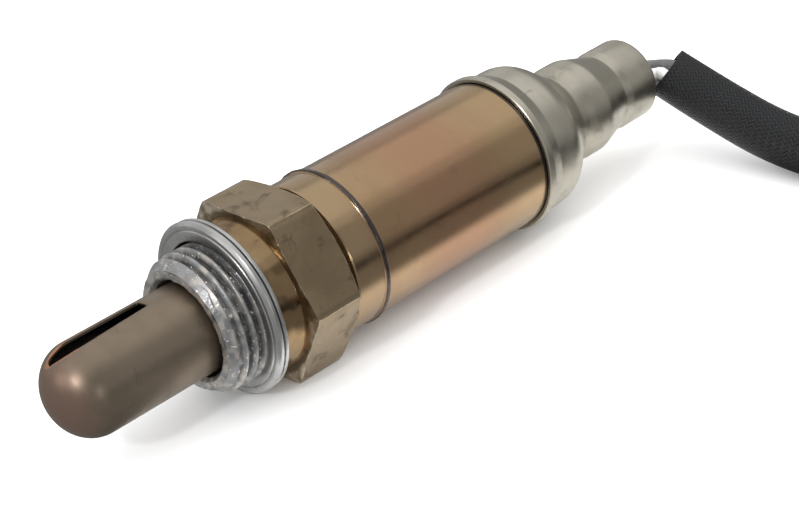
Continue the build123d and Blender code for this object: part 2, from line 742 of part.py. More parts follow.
def build():
    """Make every piece and write it."""
    os.makedirs("parts", exist_ok=True)
    save("sensor_shell", sensor_shell())
    save("seal_ring", seal_ring())
    save("protection_tube", protection_tube())
    save("sensing_thimble", sensing_thimble())
    save("thimble_washer", thimble_washer())
    save("packing_powder", packing_powder())
    save("packing_bush", packing_bush())
    save("crimp_ring", crimp_ring())
    save("heater_rod", heater_rod())
    save("signal_contact", signal_contact())
    save("contact_holder", contact_holder())
    save("holder_spring", holder_spring())
    save("heater_terminals", terminals(-1))
    save("signal_terminals", terminals(1))
    save("protective_sleeve", protective_sleeve())
    save("rear_cap", rear_cap())
    save("wire_grommet", wire_grommet())
    save("heater_wires", wires(-1))
    save("signal_wires", wires(1))
    save("lead_sheath", lead_sheath())
    save("lead_coil", lead_coil())
    save("coil_tie", coil_tie())
    save("lead_tail", lead_tail())
    save("end_sleeve", end_sleeve())
    save("plug_wires", plug_wires())
    save("plug_housing", plug_housing())
    save("plug_lock", plug_lock())
    save("plug_nose_seal", plug_nose_seal())
    save("plug_rear_seal", plug_rear_seal())
    save("plug_terminals", plug_terminals())


build()
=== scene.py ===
"""Looks of a screw-in exhaust oxygen sensor that lies on a pale surface.

Lengths are written in millimetres and turned into metres by MM. +X runs along the sensor's axis
from its nose to its lead, +Z is up, and the origin is on the axis at the front of the seal ring.
"""

import logging
import math
from dataclasses import dataclass, field
from enum import Enum
from functools import cache
from typing import Callable, Iterator, Sequence, Union

import bmesh
import bpy
from bmesh.types import BMesh, BMVert
from bpy.types import Material, Node, NodeSocket, NodeTree, Object
from mathutils import Matrix, Vector, noise


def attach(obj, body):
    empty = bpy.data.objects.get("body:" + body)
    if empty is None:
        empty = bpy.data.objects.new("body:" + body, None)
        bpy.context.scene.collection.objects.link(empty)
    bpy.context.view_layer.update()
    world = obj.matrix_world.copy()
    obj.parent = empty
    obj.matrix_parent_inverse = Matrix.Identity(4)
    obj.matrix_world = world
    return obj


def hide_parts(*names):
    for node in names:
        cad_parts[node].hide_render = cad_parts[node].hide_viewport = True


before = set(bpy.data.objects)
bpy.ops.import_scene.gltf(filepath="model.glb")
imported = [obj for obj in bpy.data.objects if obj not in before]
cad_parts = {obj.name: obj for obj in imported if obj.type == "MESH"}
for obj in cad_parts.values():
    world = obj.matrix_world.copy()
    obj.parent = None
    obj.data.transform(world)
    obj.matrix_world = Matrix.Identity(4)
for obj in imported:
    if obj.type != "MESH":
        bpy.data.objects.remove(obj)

logging.basicConfig(level=logging.INFO, format="%(name)s: %(message)s")
LOG = logging.getLogger("sensor")

Pair = tuple[float, float]
Triple = tuple[float, float, float]
Value = Union[NodeSocket, float, Triple]

MM = 0.001
FLOOR_Z = -11.0
TURN_STEPS = 192
FINE_STEPS = 300
HEX_STEPS = 360
SIXTH = math.pi / 6
MID_GREY = (0.5, 0.5, 0.5)
FLOAT, VECTOR = "NodeSocketFloat", "NodeSocketVector"


class Slot(str, Enum):
    """Material slots of the record."""

    SHELL = "shell_steel"
    RING = "ring_steel"
    TUBE = "tube_steel"
    SLEEVE = "sleeve_steel"
    CAP = "cap_steel"
    SPRING = "spring_steel"
    TERMINAL = "terminal_metal"
    CERAMIC = "ceramic"
    HEATER = "heater_ceramic"
    POWDER = "powder"
    GROMMET = "grommet_rubber"
    SEAL = "seal_rubber"
    WIRE_WHITE = "wire_white"
    WIRE_GREY = "wire_grey"
    BRAID = "braid"
    TIE = "tie_plastic"
    SHRINK = "shrink_sleeve"
    PLUG = "plug_plastic"
    LOCK = "lock_plastic"


# ------------------------------------------------------------------ camera
@dataclass(frozen=True)
class CameraView:
    """Where the camera stands and how it is turned."""

    place: Triple = (-108.886, -167.543, 109.713)
    right: Triple = (0.7107735, -0.6882273, -0.1454105)
    down: Triple = (-0.4247288, -0.2551160, -0.8686319)
    ahead: Triple = (0.5607196, 0.6791605, -0.4736396)
    lens: float = 85.55
    sensor: float = 36.0
    clip: Pair = (0.01, 20.0)

    def build(self) -> None:
        """Make the camera and set it as the scene's own."""
        data = bpy.data.cameras.new("camera")
        data.lens, data.sensor_width = self.lens, self.sensor
        data.clip_start, data.clip_end = self.clip
        camera = bpy.data.objects.new("camera", data)
        bpy.context.scene.collection.objects.link(camera)
        axes = Vector(self.right), -Vector(self.down), -Vector(self.ahead)
        turn = Matrix(axes).transposed().to_4x4()
        camera.matrix_world = Matrix.Translation(Vector(self.place) * MM) @ turn
        bpy.context.scene.camera = camera


# ------------------------------------------------------------------ shader trees
class Tree:
    """Short way to add and join nodes in a node tree."""

    MIX_FACTOR, MIX_LOW, MIX_HIGH, MIX_RESULT = 0, 6, 7, 2

    def __init__(self, tree: NodeTree) -> None:
        """Keep the tree that the nodes go into."""
        self.tree = tree

    def feed(self, socket: NodeSocket, value: Value) -> None:
        """Give a socket what it reads.

        Args:
            socket: The socket.
            value: A constant, or the output that feeds the socket.
        """
        if isinstance(value, NodeSocket):
            self.tree.links.new(value, socket)
        elif socket.type == "RGBA":
            socket.default_value = (*value, 1.0)
        else:
            socket.default_value = value

    def wire(self, node: Node, inputs: dict[str, Value]) -> None:
        """Feed several of a node's sockets by name."""
        for name, value in inputs.items():
            self.feed(node.inputs[name], value)

    def add(self, kind: str, inputs: dict[str, Value] | None = None, **settings) -> Node:
        """Add a node.

        Args:
            kind: Node type without its ShaderNode prefix.
            inputs: Names of sockets to what they read.
            **settings: Node properties.

        Returns:
            The node.
        """
        node = self.tree.nodes.new("ShaderNode" + kind)
        for name, value in settings.items():
            setattr(node, name, value)
        self.wire(node, inputs or {})
        return node

    def math(self, operation: str, *values: Value, clamp: bool = False) -> NodeSocket:
        """Add a Math node.

        Args:
            operation: What the node does.
            *values: What its sockets read, in order.
            clamp: Keep the result between 0 and 1.

        Returns:
            The result.
        """
        node = self.add("Math", operation=operation, use_clamp=clamp)
        for socket, value in zip(node.inputs, values):
            self.feed(socket, value)
        return node.outputs[0]

    def plus(self, first: Value, second: Value, clamp: bool = False) -> NodeSocket:
        """Add two values."""
        return self.math("ADD", first, second, clamp=clamp)

    def minus(self, first: Value, second: Value) -> NodeSocket:
        """Take the second value from the first."""
        return self.math("SUBTRACT", first, second)

    def times(self, first: Value, second: Value, clamp: bool = False) -> NodeSocket:
        """Multiply two values."""
        return self.math("MULTIPLY", first, second, clamp=clamp)

    def blend(self, factor: Value, low: Value, high: Value, mode: str = "MIX") -> NodeSocket:
        """Mix two colours.

        Args:
            factor: Share of the second colour.
            low: The first colour.
            high: The second colour.
            mode: Blend mode.

        Returns:
            The mixed colour.
        """
        node = self.add("Mix", data_type="RGBA", blend_type=mode)
        self.feed(node.inputs[self.MIX_FACTOR], factor)
        self.feed(node.inputs[self.MIX_LOW], low)
        self.feed(node.inputs[self.MIX_HIGH], high)
        return node.outputs[self.MIX_RESULT]

    def span(self, value: Value, low: float, high: float, to_low: float = 0.0,
             to_high: float = 1.0) -> NodeSocket:
        """Map a value smoothly from one range to another.

        Args:
            value: The value.
            low: Start of its range.
            high: End of its range.
            to_low: Result at the start.
            to_high: Result at the end.

        Returns:
            The mapped value.
        """
        node = self.add("MapRange", interpolation_type="SMOOTHSTEP")
        for socket, item in zip(node.inputs, (value, low, high, to_low, to_high)):
            self.feed(socket, item)
        return node.outputs[0]

    def noise(self, vector: Value, scale: Value, detail: float, roughness: float,
              distortion: float = 0.0) -> NodeSocket:
        """Add a noise texture.

        Args:
            vector: Coordinates.
            scale: Lumps per metre.
            detail: Number of finer layers.
            roughness: Weight of the finer layers.
            distortion: How far the pattern is warped.

        Returns:
            The noise, from 0 to 1.
        """
        node = self.add("TexNoise", {"Vector": vector, "Scale": scale, "Detail": detail,
                                     "Roughness": roughness, "Distortion": distortion})
        return node.outputs["Fac"]

    def relief(self, height: Value, strength: Value, depth: float) -> NodeSocket:
        """Turn a height into a normal.

        Args:
            height: The height, in shares of the depth.
            strength: How much of it shows.
            depth: Depth of the relief.

        Returns:
            The normal.
        """
        node = self.add("Bump", {"Strength": strength, "Distance": depth * MM, "Height": height})
        return node.outputs[0]

    def attribute(self, name: str) -> NodeSocket:
        """Read a value that the mesh carries at its vertices."""
        return self.add("Attribute", attribute_name=name).outputs["Fac"]


class Groups:
    """Node groups that several finishes share. They give masks, heights and normals only."""

    SQUEEZE = (1.0, 0.06, 0.06)
    LINE_NOISE, BLOTCH_NOISE = (4.0, 0.7), (4.0, 0.6)
    GRAIN = (2600.0, 2.0, 0.5)
    LINE_SHARE, GRAIN_SHARE = 0.7, 0.3
    WEAR_DEPTH = 0.06
    CROSSING = 0.35
    UNDER, RISE = 0.4, 0.6
    THREADS, THREAD_SHARE = 4.0, 0.22
    GAP = (0.3, 0.62)

    @staticmethod
    def start(name: str, given: dict[str, str], out: dict[str, str]) -> tuple[Tree, dict, dict]:
        """Start a group.

        Args:
            name: The group's name.
            given: Names of its inputs to their socket types.
            out: Names of its outputs to their socket types.

        Returns:
            The group's tree, the sockets that bring its inputs and those that take its outputs.
        """
        group = bpy.data.node_groups.new(name, "ShaderNodeTree")
        for side, sockets in (("INPUT", given), ("OUTPUT", out)):
            for label, kind in sockets.items():
                group.interface.new_socket(label, in_out=side, socket_type=kind)
        source, sink = group.nodes.new("NodeGroupInput"), group.nodes.new("NodeGroupOutput")
        return Tree(group), source.outputs, sink.inputs

    @staticmethod
    @cache
    def metal_wear() -> NodeTree:
        """Make the wear of metal: lines round the axis, fine grain and soft blotches.

        Returns:
            The group. Lines and Blotch are scales, and Depth is the strength of the relief.
        """
        tree, given, out = Groups.start(
            "metal_wear", {"Vector": VECTOR, "Lines": FLOAT, "Depth": FLOAT, "Blotch": FLOAT},
            {"Line": FLOAT, "Blotch": FLOAT, "Fine": FLOAT, "Normal": VECTOR})
        squeezed = tree.add("Mapping", {"Vector": given["Vector"], "Scale": Groups.SQUEEZE})
        line = tree.noise(squeezed.outputs[0], given["Lines"], *Groups.LINE_NOISE)
        blotch = tree.noise(given["Vector"], given["Blotch"], *Groups.BLOTCH_NOISE)
        fine = tree.noise(given["Vector"], *Groups.GRAIN)
        height = tree.plus(tree.times(line, Groups.LINE_SHARE),
                           tree.times(fine, Groups.GRAIN_SHARE))
        normal = tree.relief(height, given["Depth"], Groups.WEAR_DEPTH)
        for socket, value in zip(out, (line, blotch, fine, normal)):
            tree.feed(socket, value)
        return tree.tree

    @staticmethod
    @cache
    def braid() -> NodeTree:
        """Make a two-way braid from places along and round a sleeve, both counted in strands.

        Returns:
            The group. Height is the relief, and Gap is 1 between the strands.
        """
        tree, given, out = Groups.start("braid", {"Along": FLOAT, "Round": FLOAT},
                                        {"Height": FLOAT, "Gap": FLOAT})
        left = tree.plus(given["Along"], given["Round"])
        right = tree.minus(given["Along"], given["Round"])
        ridges = [tree.math("SINE", tree.times(tree.math("PINGPONG", way, 0.5), math.pi))
                  for way in (left, right)]
        over = tree.math("SINE", tree.times(tree.plus(left, right), math.pi / 2))
        front = tree.span(over, -Groups.CROSSING, Groups.CROSSING)
        heights = [tree.times(ridge, tree.plus(tree.times(shown, Groups.RISE), Groups.UNDER))
                   for ridge, shown in zip(ridges, (front, tree.minus(1.0, front)))]
        height = tree.math("MAXIMUM", *heights)
        is_left = tree.math("GREATER_THAN", *heights)
        strand = tree.plus(tree.times(is_left, left), tree.times(tree.minus(1.0, is_left), right))
        thread = tree.math("PINGPONG", tree.times(strand, Groups.THREADS), 0.5)
        tree.feed(out["Height"], tree.plus(height, tree.times(thread, Groups.THREAD_SHARE)))
        tree.feed(out["Gap"], tree.span(height, *Groups.GAP, 1.0, 0.0))
        return tree.tree


# ------------------------------------------------------------------ finishes
@dataclass(frozen=True)
class Finish:
    """A finish makes one material. Its subclasses say what the shader reads."""

    name: str

    def material(self) -> Material:
        """Make the material, or return it if it has been made.

        Returns:
            The material.
        """
        found = bpy.data.materials.get(self.name)
        if found:
            return found
        made = bpy.data.materials.new(self.name)
        made.use_nodes = True
        made.node_tree.nodes.clear()
        tree = Tree(made.node_tree)
        shader = tree.add("BsdfPrincipled")
        tree.add("OutputMaterial", {"Surface": shader.outputs[0]})
        tree.wire(shader, self.shading(tree, tree.add("TexCoord").outputs["Object"]))
        return made

    def shading(self, tree: Tree, place: NodeSocket) -> dict[str, Value]:
        """Work out what the shader reads.

        Args:
            tree: The material's tree.
            place: Object coordinates.

        Returns:
            Names of the shader's sockets to what they read.
        """
        raise NotImplementedError


@dataclass(frozen=True)
class TintedMetal(Finish):
    """Steel with a heat tint: a base tone, a second tone in blotches, dark stains and lines.

    The mesh's "edge" attribute shows the edge tone: wear on the hexagon, a painted glint on the
    tube's slots, and on the sleeve the bead's dark colour with painted shade at its rear edge.
    A second attribute darkens the inside to near black with painted shade.
    A field that ends in span holds the noise levels between which a look comes in.
    """

    tone: Triple
    second: Triple
    stain: Triple
    stain_share: float
    stain_scale: float = 260.0
    blotch_scale: float = 120.0
    line_scale: float = 900.0
    relief: float = 0.12
    roughness: Pair = (0.22, 0.42)
    metallic: float = 1.0
    edge_tone: Triple | None = None
    bands: tuple[tuple[float, float, Triple], ...] = ()
    mottle_span: Pair = (0.35, 0.65)
    rough_span: Pair = (0.7, 1.3)
    edge_wear_and_painted_light_span: Pair = (0.3, 0.8)
    line_contrast: float = 0.35
    stain_noise: Triple = (6.0, 0.68, 0.6)
    stain_edge: float = 0.62
    stain_spread: float = 0.24
    stain_soft: float = 0.14
    stain_roughness: float = 0.2
    patchiness: float = 0.4
    band_wobble: float = 3.0
    band_soft: float = 0.4
    inner_shade_tone: Triple = (0.02, 0.017, 0.015)
    inner_shade_share: float = 0.9

    def shading(self, tree: Tree, place: NodeSocket) -> dict[str, Value]:
        """Work out what the shader reads.

        Args:
            tree: The material's tree.
            place: Object coordinates.

        Returns:
            Names of the shader's sockets to what they read.
        """
        wear = tree.add("Group", node_tree=Groups.metal_wear())
        tree.wire(wear, {"Vector": place, "Lines": self.line_scale, "Depth": self.relief,
                         "Blotch": self.blotch_scale})
        line, blotch, fine, normal = wear.outputs
        colour = tree.blend(tree.span(blotch, *self.mottle_span), self.tone, self.second)
        colour = self.banded(tree, place, colour, blotch)
        spots = tree.noise(place, self.stain_scale, *self.stain_noise)
        edge = self.stain_edge - self.stain_spread * self.stain_share
        stained = tree.span(spots, edge, edge + self.stain_soft)
        stained = tree.times(stained, self.stain_share * 2.0, clamp=True)
        colour = tree.blend(stained, colour, self.stain)
        colour = tree.blend(tree.times(line, self.line_contrast), colour, MID_GREY, "OVERLAY")
        rough = tree.span(tree.plus(line, blotch), *self.rough_span, *self.roughness)
        rough = tree.plus(rough, tree.times(stained, self.stain_roughness), clamp=True)
        # Edge tone: wear on the hexagon, painted glint on the tube's slots, bead colour and painted
        # shade on the sleeve.
        if self.edge_tone:
            patches = tree.times(tree.minus(fine, 0.5), self.patchiness)
            edge_and_crest_mark = tree.span(tree.plus(tree.attribute("edge"), patches), *self.edge_wear_and_painted_light_span)
            colour = tree.blend(edge_and_crest_mark, colour, self.edge_tone)
        # Painted shade: all that lies 0.3 mm inside the tube's outer surface, flaps too, goes near
        # black.
        painted_inner_shade = tree.times(tree.attribute("painted_inner_shade"), self.inner_shade_share)
        colour = tree.blend(painted_inner_shade, colour, self.inner_shade_tone)
        return {"Base Color": colour, "Metallic": self.metallic, "Roughness": rough,
                "Normal": normal}

    def banded(self, tree: Tree, place: NodeSocket, colour: NodeSocket,
               blotch: NodeSocket) -> NodeSocket:
        """Lay tone bands across the axis over a colour.

        Args:
            tree: The material's tree.
            place: Object coordinates.
            colour: The colour under the bands.
            blotch: Noise that makes the bands' edges uneven.

        Returns:
            The banded colour.
        """
        split = tree.add("SeparateXYZ", {"Vector": place})
        wobble = tree.times(tree.minus(blotch, 0.5), self.band_wobble * MM)
        along = tree.plus(split.outputs["X"], wobble)
        for start, end, tone in self.bands:
            soft = self.band_soft * (end - start)
            rise = tree.span(along, start * MM, (start + soft) * MM)
            fall = tree.span(along, (end - soft) * MM, end * MM, 1.0, 0.0)
            colour = tree.blend(tree.times(rise, fall), colour, tone)
        return colour


@dataclass(frozen=True)
class ThreadPaste(Finish):
    """Grey metallic assembly paste, with bare steel where the mesh's "paste" attribute is 0.

    The mesh's "groove" attribute paints shade into the thread's roots. Each noise is its scale, its
    detail and its roughness.
    """

    grain: Triple = (1500.0, 5.0, 0.65)
    grain_span: Pair = (0.6, 0.72)
    grain_height: float = 0.6
    clump: Triple = (420.0, 4.0, 0.6)
    clump_span: Pair = (0.35, 0.65)
    flake: Triple = (2300.0, 2.0, 0.5)
    flake_span: Pair = (0.64, 0.7)
    tone: Triple = (0.34, 0.34, 0.345)
    thin: float = 0.72
    bare: Triple = (0.5, 0.47, 0.43)
    grain_tone: Triple = (0.8, 0.78, 0.75)
    flake_tone: Triple = (0.95, 0.92, 0.88)
    flake_share: float = 0.8
    # Painted shade in the thread's roots.
    groove_shade_tone: Triple = (0.03, 0.03, 0.032)
    groove_shade_share: float = 0.78
    metallic: float = 0.85
    roughness: Pair = (0.22, 0.52)
    relief: float = 0.45
    depth: float = 0.2

    def shading(self, tree: Tree, place: NodeSocket) -> dict[str, Value]:
        """Work out what the shader reads.

        Args:
            tree: The material's tree.
            place: Object coordinates.

        Returns:
            Names of the shader's sockets to what they read.
        """
        grain = tree.noise(place, *self.grain)
        clump = tree.noise(place, *self.clump)
        thin = tuple(self.thin * c for c in self.tone)
        colour = tree.blend(tree.span(clump, *self.clump_span), thin, self.tone)
        colour = tree.blend(tree.span(grain, *self.grain_span), colour, self.grain_tone)
        colour = tree.blend(tree.attribute("paste"), self.bare, colour)
        # Painted shade in the thread's roots.
        groove = tree.times(tree.attribute("groove"), self.groove_shade_share)
        colour = tree.blend(groove, colour, self.groove_shade_tone)
        flake = tree.span(tree.noise(place, *self.flake), *self.flake_span)
        colour = tree.blend(tree.times(flake, self.flake_share), colour, self.flake_tone)
        low, high = self.roughness
        height = tree.plus(clump, tree.times(grain, self.grain_height))
        return {"Base Color": colour, "Metallic": self.metallic,
                "Roughness": tree.plus(tree.times(clump, high - low), low),
                "Normal": tree.relief(height, self.relief, self.depth)}


@dataclass(frozen=True)
class Moulded(Finish):
    """Moulded plastic, rubber or fired ceramic: fine grain, light dust and soft sheen."""

    tone: Triple
    dust: Triple
    dust_share: float
    grain_scale: float = 1800.0
    relief: float = 0.25
    roughness: Pair = (0.4, 0.6)
    grain_noise: Pair = (4.0, 0.6)
    cloud: Triple = (160.0, 3.0, 0.6)
    dust_span: Pair = (0.45, 0.75)
    rough_span: Pair = (0.3, 0.7)
    contrast: float = 0.2
    depth: float = 0.08

    def shading(self, tree: Tree, place: NodeSocket) -> dict[str, Value]:
        """Work out what the shader reads.

        Args:
            tree: The material's tree.
            place: Object coordinates.

        Returns:
            Names of the shader's sockets to what they read.
        """
        grain = tree.noise(place, self.grain_scale, *self.grain_noise)
        cloud = tree.noise(place, *self.cloud)
        dusty = tree.times(tree.span(cloud, *self.dust_span), self.dust_share)
        colour = tree.blend(dusty, self.tone, self.dust)
        colour = tree.blend(tree.times(grain, self.contrast), colour, MID_GREY, "OVERLAY")
        return {"Base Color": colour,
                "Roughness": tree.span(cloud, *self.rough_span, *self.roughness),
                "Normal": tree.relief(grain, self.relief, self.depth)}


@dataclass(frozen=True)
class Braided(Finish):
    """Coated black braid, drawn from the distances along and round the lead in its UV map."""

    tone: Triple = (0.008, 0.0084, 0.009)
    # The crest tone lightens the strands' crests, partly wear, partly painted light; the gap tone
    # is painted shade.
    edge_and_crest_mark: Triple = (0.02, 0.021, 0.023)
    gap: Triple = (0.008, 0.008, 0.008)
    strand: float = 0.64
    round_strands: float = 36.0
    fuzz: Triple = (2200.0, 4.0, 0.65)
    fuzz_contrast: float = 0.5
    fuzz_height: float = 0.25
    cloud: Triple = (220.0, 3.0, 0.6)
    crest_light_span: Pair = (0.55, 1.1)
    roughness: Pair = (0.26, 0.51)
    sheen: float = 0.22
    relief: float = 0.6
    depth: float = 0.22

    def shading(self, tree: Tree, place: NodeSocket) -> dict[str, Value]:
        """Work out what the shader reads.

        Args:
            tree: The material's tree.
            place: Object coordinates.

        Returns:
            Names of the shader's sockets to what they read.
        """
        split = tree.add("SeparateXYZ", {"Vector": tree.add("TexCoord").outputs["UV"]})
        braid = tree.add("Group", node_tree=Groups.braid())
        tree.wire(braid, {"Along": tree.times(split.outputs["X"], 1.0 / self.strand),
                          "Round": tree.times(split.outputs["Y"], self.round_strands)})
        height, gap = braid.outputs
        fuzz = tree.noise(place, *self.fuzz)
        cloud = tree.noise(place, *self.cloud)
        # Lighter crests, partly wear and partly painted light, and painted shade in the gaps
        # between strands.
        colour = tree.blend(tree.span(height, *self.crest_light_span), self.tone, self.edge_and_crest_mark)
        colour = tree.blend(gap, colour, self.gap)
        colour = tree.blend(tree.times(fuzz, self.fuzz_contrast), colour, MID_GREY, "OVERLAY")
        low, high = self.roughness
        height = tree.plus(height, tree.times(fuzz, self.fuzz_height))
        return {"Base Color": colour, "Roughness": tree.plus(tree.times(cloud, high - low), low),
                "Specular IOR Level": self.sheen,
                "Normal": tree.relief(height, self.relief, self.depth)}


@dataclass(frozen=True)
class Surface(Finish):
    """Pale studio surface: white to the eye, but dark in the metal beyond a strip by the sensor."""

    tone: Triple = (0.9, 0.9, 0.9)
    clouded: float = 0.985
    cloud: Triple = (3.0, 2.0, 0.5)
    cloud_span: Pair = (0.3, 0.7)
    strip: Pair = (15.0, 23.0)
    nose_x: float = 2.0
    nose_spread: float = 1.1
    mirrored: float = 0.18
    roughness: float = 0.75
    sheen: float = 0.2

    def shading(self, tree: Tree, place: NodeSocket) -> dict[str, Value]:
        """Work out what the shader reads.

        Args:
            tree: The material's tree.
            place: Object coordinates.

        Returns:
            Names of the shader's sockets to what they read.
        """
        cloud = tree.span(tree.noise(place, *self.cloud), *self.cloud_span)
        colour = tree.blend(cloud, self.tone, tuple(self.clouded * c for c in self.tone))
        split = tree.add("SeparateXYZ", {"Vector": place})
        ahead = tree.math("MAXIMUM", tree.minus(self.nose_x * MM, split.outputs["X"]), 0.0)
        aside = tree.math("ABSOLUTE", split.outputs["Y"])
        aside = tree.plus(aside, tree.times(ahead, self.nose_spread))
        beyond = tree.span(aside, *(edge * MM for edge in self.strip))
        seen = tree.times(beyond, tree.add("LightPath").outputs["Is Glossy Ray"])
        colour = tree.blend(seen, colour, tuple(self.mirrored * c for c in self.tone))
        return {"Base Color": colour, "Roughness": self.roughness, "Specular IOR Level": self.sheen}


FINISHES: dict[Slot, Finish] = {
    Slot.SHELL: TintedMetal(
        "shell steel", (0.335, 0.255, 0.16), (0.265, 0.2, 0.122), (0.1, 0.075, 0.05), 0.36,
        stain_scale=250.0, blotch_scale=140.0, line_scale=700.0, relief=0.1, roughness=(0.26, 0.4),
        edge_tone=(0.8, 0.7, 0.55)),
    Slot.RING: TintedMetal(
        "ring steel", (0.58, 0.58, 0.57), (0.47, 0.47, 0.46), (0.22, 0.2, 0.19), 0.25,
        stain_scale=500.0, blotch_scale=200.0, line_scale=1300.0, roughness=(0.26, 0.4)),
    Slot.TUBE: TintedMetal(
        "tube steel", (0.26, 0.208, 0.155), (0.21, 0.167, 0.124), (0.12, 0.09, 0.075), 0.2,
        stain_scale=300.0, blotch_scale=90.0, line_scale=800.0, relief=0.06, roughness=(0.36, 0.46),
        # The edge tone is a painted copper glint along the slots' front edges.
        metallic=0.95, edge_tone=(0.5, 0.26, 0.15), bands=((-27.5, -20.6, (0.29, 0.2, 0.155)),)),
    Slot.SLEEVE: TintedMetal(
        "sleeve steel", (0.43, 0.3, 0.175), (0.37, 0.245, 0.14), (0.2, 0.14, 0.1), 0.16,
        stain_scale=420.0, blotch_scale=70.0, line_scale=500.0, relief=0.04, roughness=(0.16, 0.25),
        # The edge tone darkens the weld bead, its own colour, and the rear edge by the cap's lip,
        # painted shade.
        edge_tone=(0.1, 0.083, 0.078),
        bands=((10.5, 20.5, (0.4, 0.285, 0.17)), (21.0, 43.0, (0.4, 0.24, 0.145)),
               (38.0, 56.0, (0.425, 0.295, 0.168)))),
    Slot.CAP: TintedMetal(
        "cap steel", (0.52, 0.49, 0.41), (0.45, 0.42, 0.35), (0.22, 0.18, 0.15), 0.2,
        stain_scale=420.0, blotch_scale=110.0, line_scale=1000.0, relief=0.05,
        roughness=(0.3, 0.4)),
    Slot.SPRING: TintedMetal(
        "spring steel", (0.55, 0.55, 0.55), (0.45, 0.45, 0.45), (0.3, 0.3, 0.3), 0.15),
    Slot.TERMINAL: TintedMetal(
        "terminal metal", (0.7, 0.66, 0.56), (0.6, 0.56, 0.47), (0.4, 0.35, 0.3), 0.15),
    Slot.CERAMIC: Moulded(
        "fired ceramic", (0.82, 0.81, 0.77), (0.6, 0.57, 0.52), 0.3, 2400.0, 0.3, (0.45, 0.65)),
    Slot.HEATER: Moulded("heater ceramic", (0.74, 0.73, 0.7), (0.5, 0.47, 0.44), 0.3, 2400.0, 0.2),
    Slot.POWDER: Moulded(
        "pressed powder", (0.6, 0.6, 0.58), (0.7, 0.7, 0.68), 0.5, 3000.0, 0.8, (0.8, 0.95)),
    Slot.GROMMET: Moulded("grommet rubber", (0.03, 0.03, 0.03), (0.14, 0.13, 0.12), 0.3),
    Slot.SEAL: Moulded(
        "seal rubber", (0.42, 0.1, 0.05), (0.5, 0.3, 0.25), 0.3, 1500.0, 0.15, (0.35, 0.5)),
    Slot.WIRE_WHITE: Moulded(
        "white wire", (0.78, 0.77, 0.74), (0.5, 0.48, 0.45), 0.4, 1200.0, 0.1, (0.3, 0.45)),
    Slot.WIRE_GREY: Moulded(
        "grey wire", (0.1, 0.1, 0.105), (0.4, 0.39, 0.38), 0.3, 1200.0, 0.1, (0.3, 0.45)),
    Slot.TIE: Moulded("tie", (0.03, 0.03, 0.03), (0.2, 0.2, 0.2), 0.2, 1200.0, 0.2, (0.3, 0.45)),
    Slot.SHRINK: Moulded(
        "shrink sleeve", (0.022, 0.022, 0.022), (0.15, 0.15, 0.15), 0.25, 900.0, 0.3),
    Slot.PLUG: Moulded(
        "plug", (0.045, 0.046, 0.05), (0.25, 0.24, 0.23), 0.2, 2000.0, 0.35, (0.38, 0.55)),
    Slot.LOCK: Moulded("lock", (0.4, 0.4, 0.39), (0.5, 0.48, 0.45), 0.3, 2000.0, 0.3, (0.35, 0.5)),
    Slot.BRAID: Braided("coated braid"),
}
PASTE = ThreadPaste("thread paste")
COLLAR = TintedMetal(
    "collar steel", (0.34, 0.235, 0.125), (0.25, 0.165, 0.09), (0.1, 0.07, 0.05), 0.3,
    stain_scale=260.0, blotch_scale=120.0, line_scale=900.0, relief=0.06, roughness=(0.1, 0.18))


# ------------------------------------------------------------------ mesh helpers
def arc_points(before: Pair, corner: Pair, after: Pair, radius: float, steps: int) -> list[Pair]:
    """Points of the arc that rounds one corner of a profile.

    Args:
        before: Point ahead of the corner.
        corner: The corner.
        after: Point behind the corner.
        radius: Radius of the arc.
        steps: Number of spans in the arc.

    Returns:
        The arc's points, or the corner alone where there is nothing to round.
    """
    a, b, c = Vector(before), Vector(corner), Vector(after)
    into, away = (b - a).normalized(), (c - b).normalized()
    turn = into.angle(away, 0.0)
    if radius <= 0 or turn < 0.02:
        return [corner]
    reach = min(radius * math.tan(turn / 2), 0.49 * (b - a).length, 0.49 * (c - b).length)
    start, end = b - into * reach, b + away * reach
    return [tuple(start.lerp(b, t).lerp(b.lerp(end, t), t)) for t in steps_between(0.0, 1.0, steps)]


def rounded(points: Sequence[Triple], steps: int = 6) -> list[Pair]:
    """Round the corners of an open profile.

    Args:
        points: (x, radius from the axis, corner radius) in millimetres.
        steps: Spans per corner.

    Returns:
        The rounded profile as (x, radius) points.
    """
    flat = [(x, r) for x, r, _ in points]
    line = [flat[0]]
    for before, corner, after, (*_, radius) in zip(flat, flat[1:], flat[2:], points[1:]):
        line += arc_points(before, corner, after, radius, steps)
    return line + [flat[-1]]


def steps_between(start: float, end: float, count: int) -> list[float]:
    """Evenly spaced values with both ends."""
    return [start + (end - start) * i / count for i in range(count + 1)]


def neighbours(line: Sequence[Vector]) -> Iterator[tuple[Vector, Vector, Vector]]:
    """Each point between the ones before and after it. An end stands in for what it lacks."""
    return zip([line[0], *line], line, [*line[1:], line[-1]])


def lumps(x: float, y: float, z: float, *layers: Triple) -> float:
    """Add up layers of smooth noise.

    Args:
        x: Place along the axis.
        y: Place across it.
        z: Height.
        *layers: (height, lumps per millimetre, seed) of each layer.

    Returns:
        The noise at the place.
    """
    return sum(height * noise.noise(Vector((x * scale + seed, y * scale, z * scale)))
               for height, scale, seed in layers)


def eased(value: float, low: float, high: float) -> float:
    """Smooth step from 0 at low to 1 at high."""
    t = min(max((value - low) / (high - low), 0.0), 1.0)
    return t * t * (3 - 2 * t)


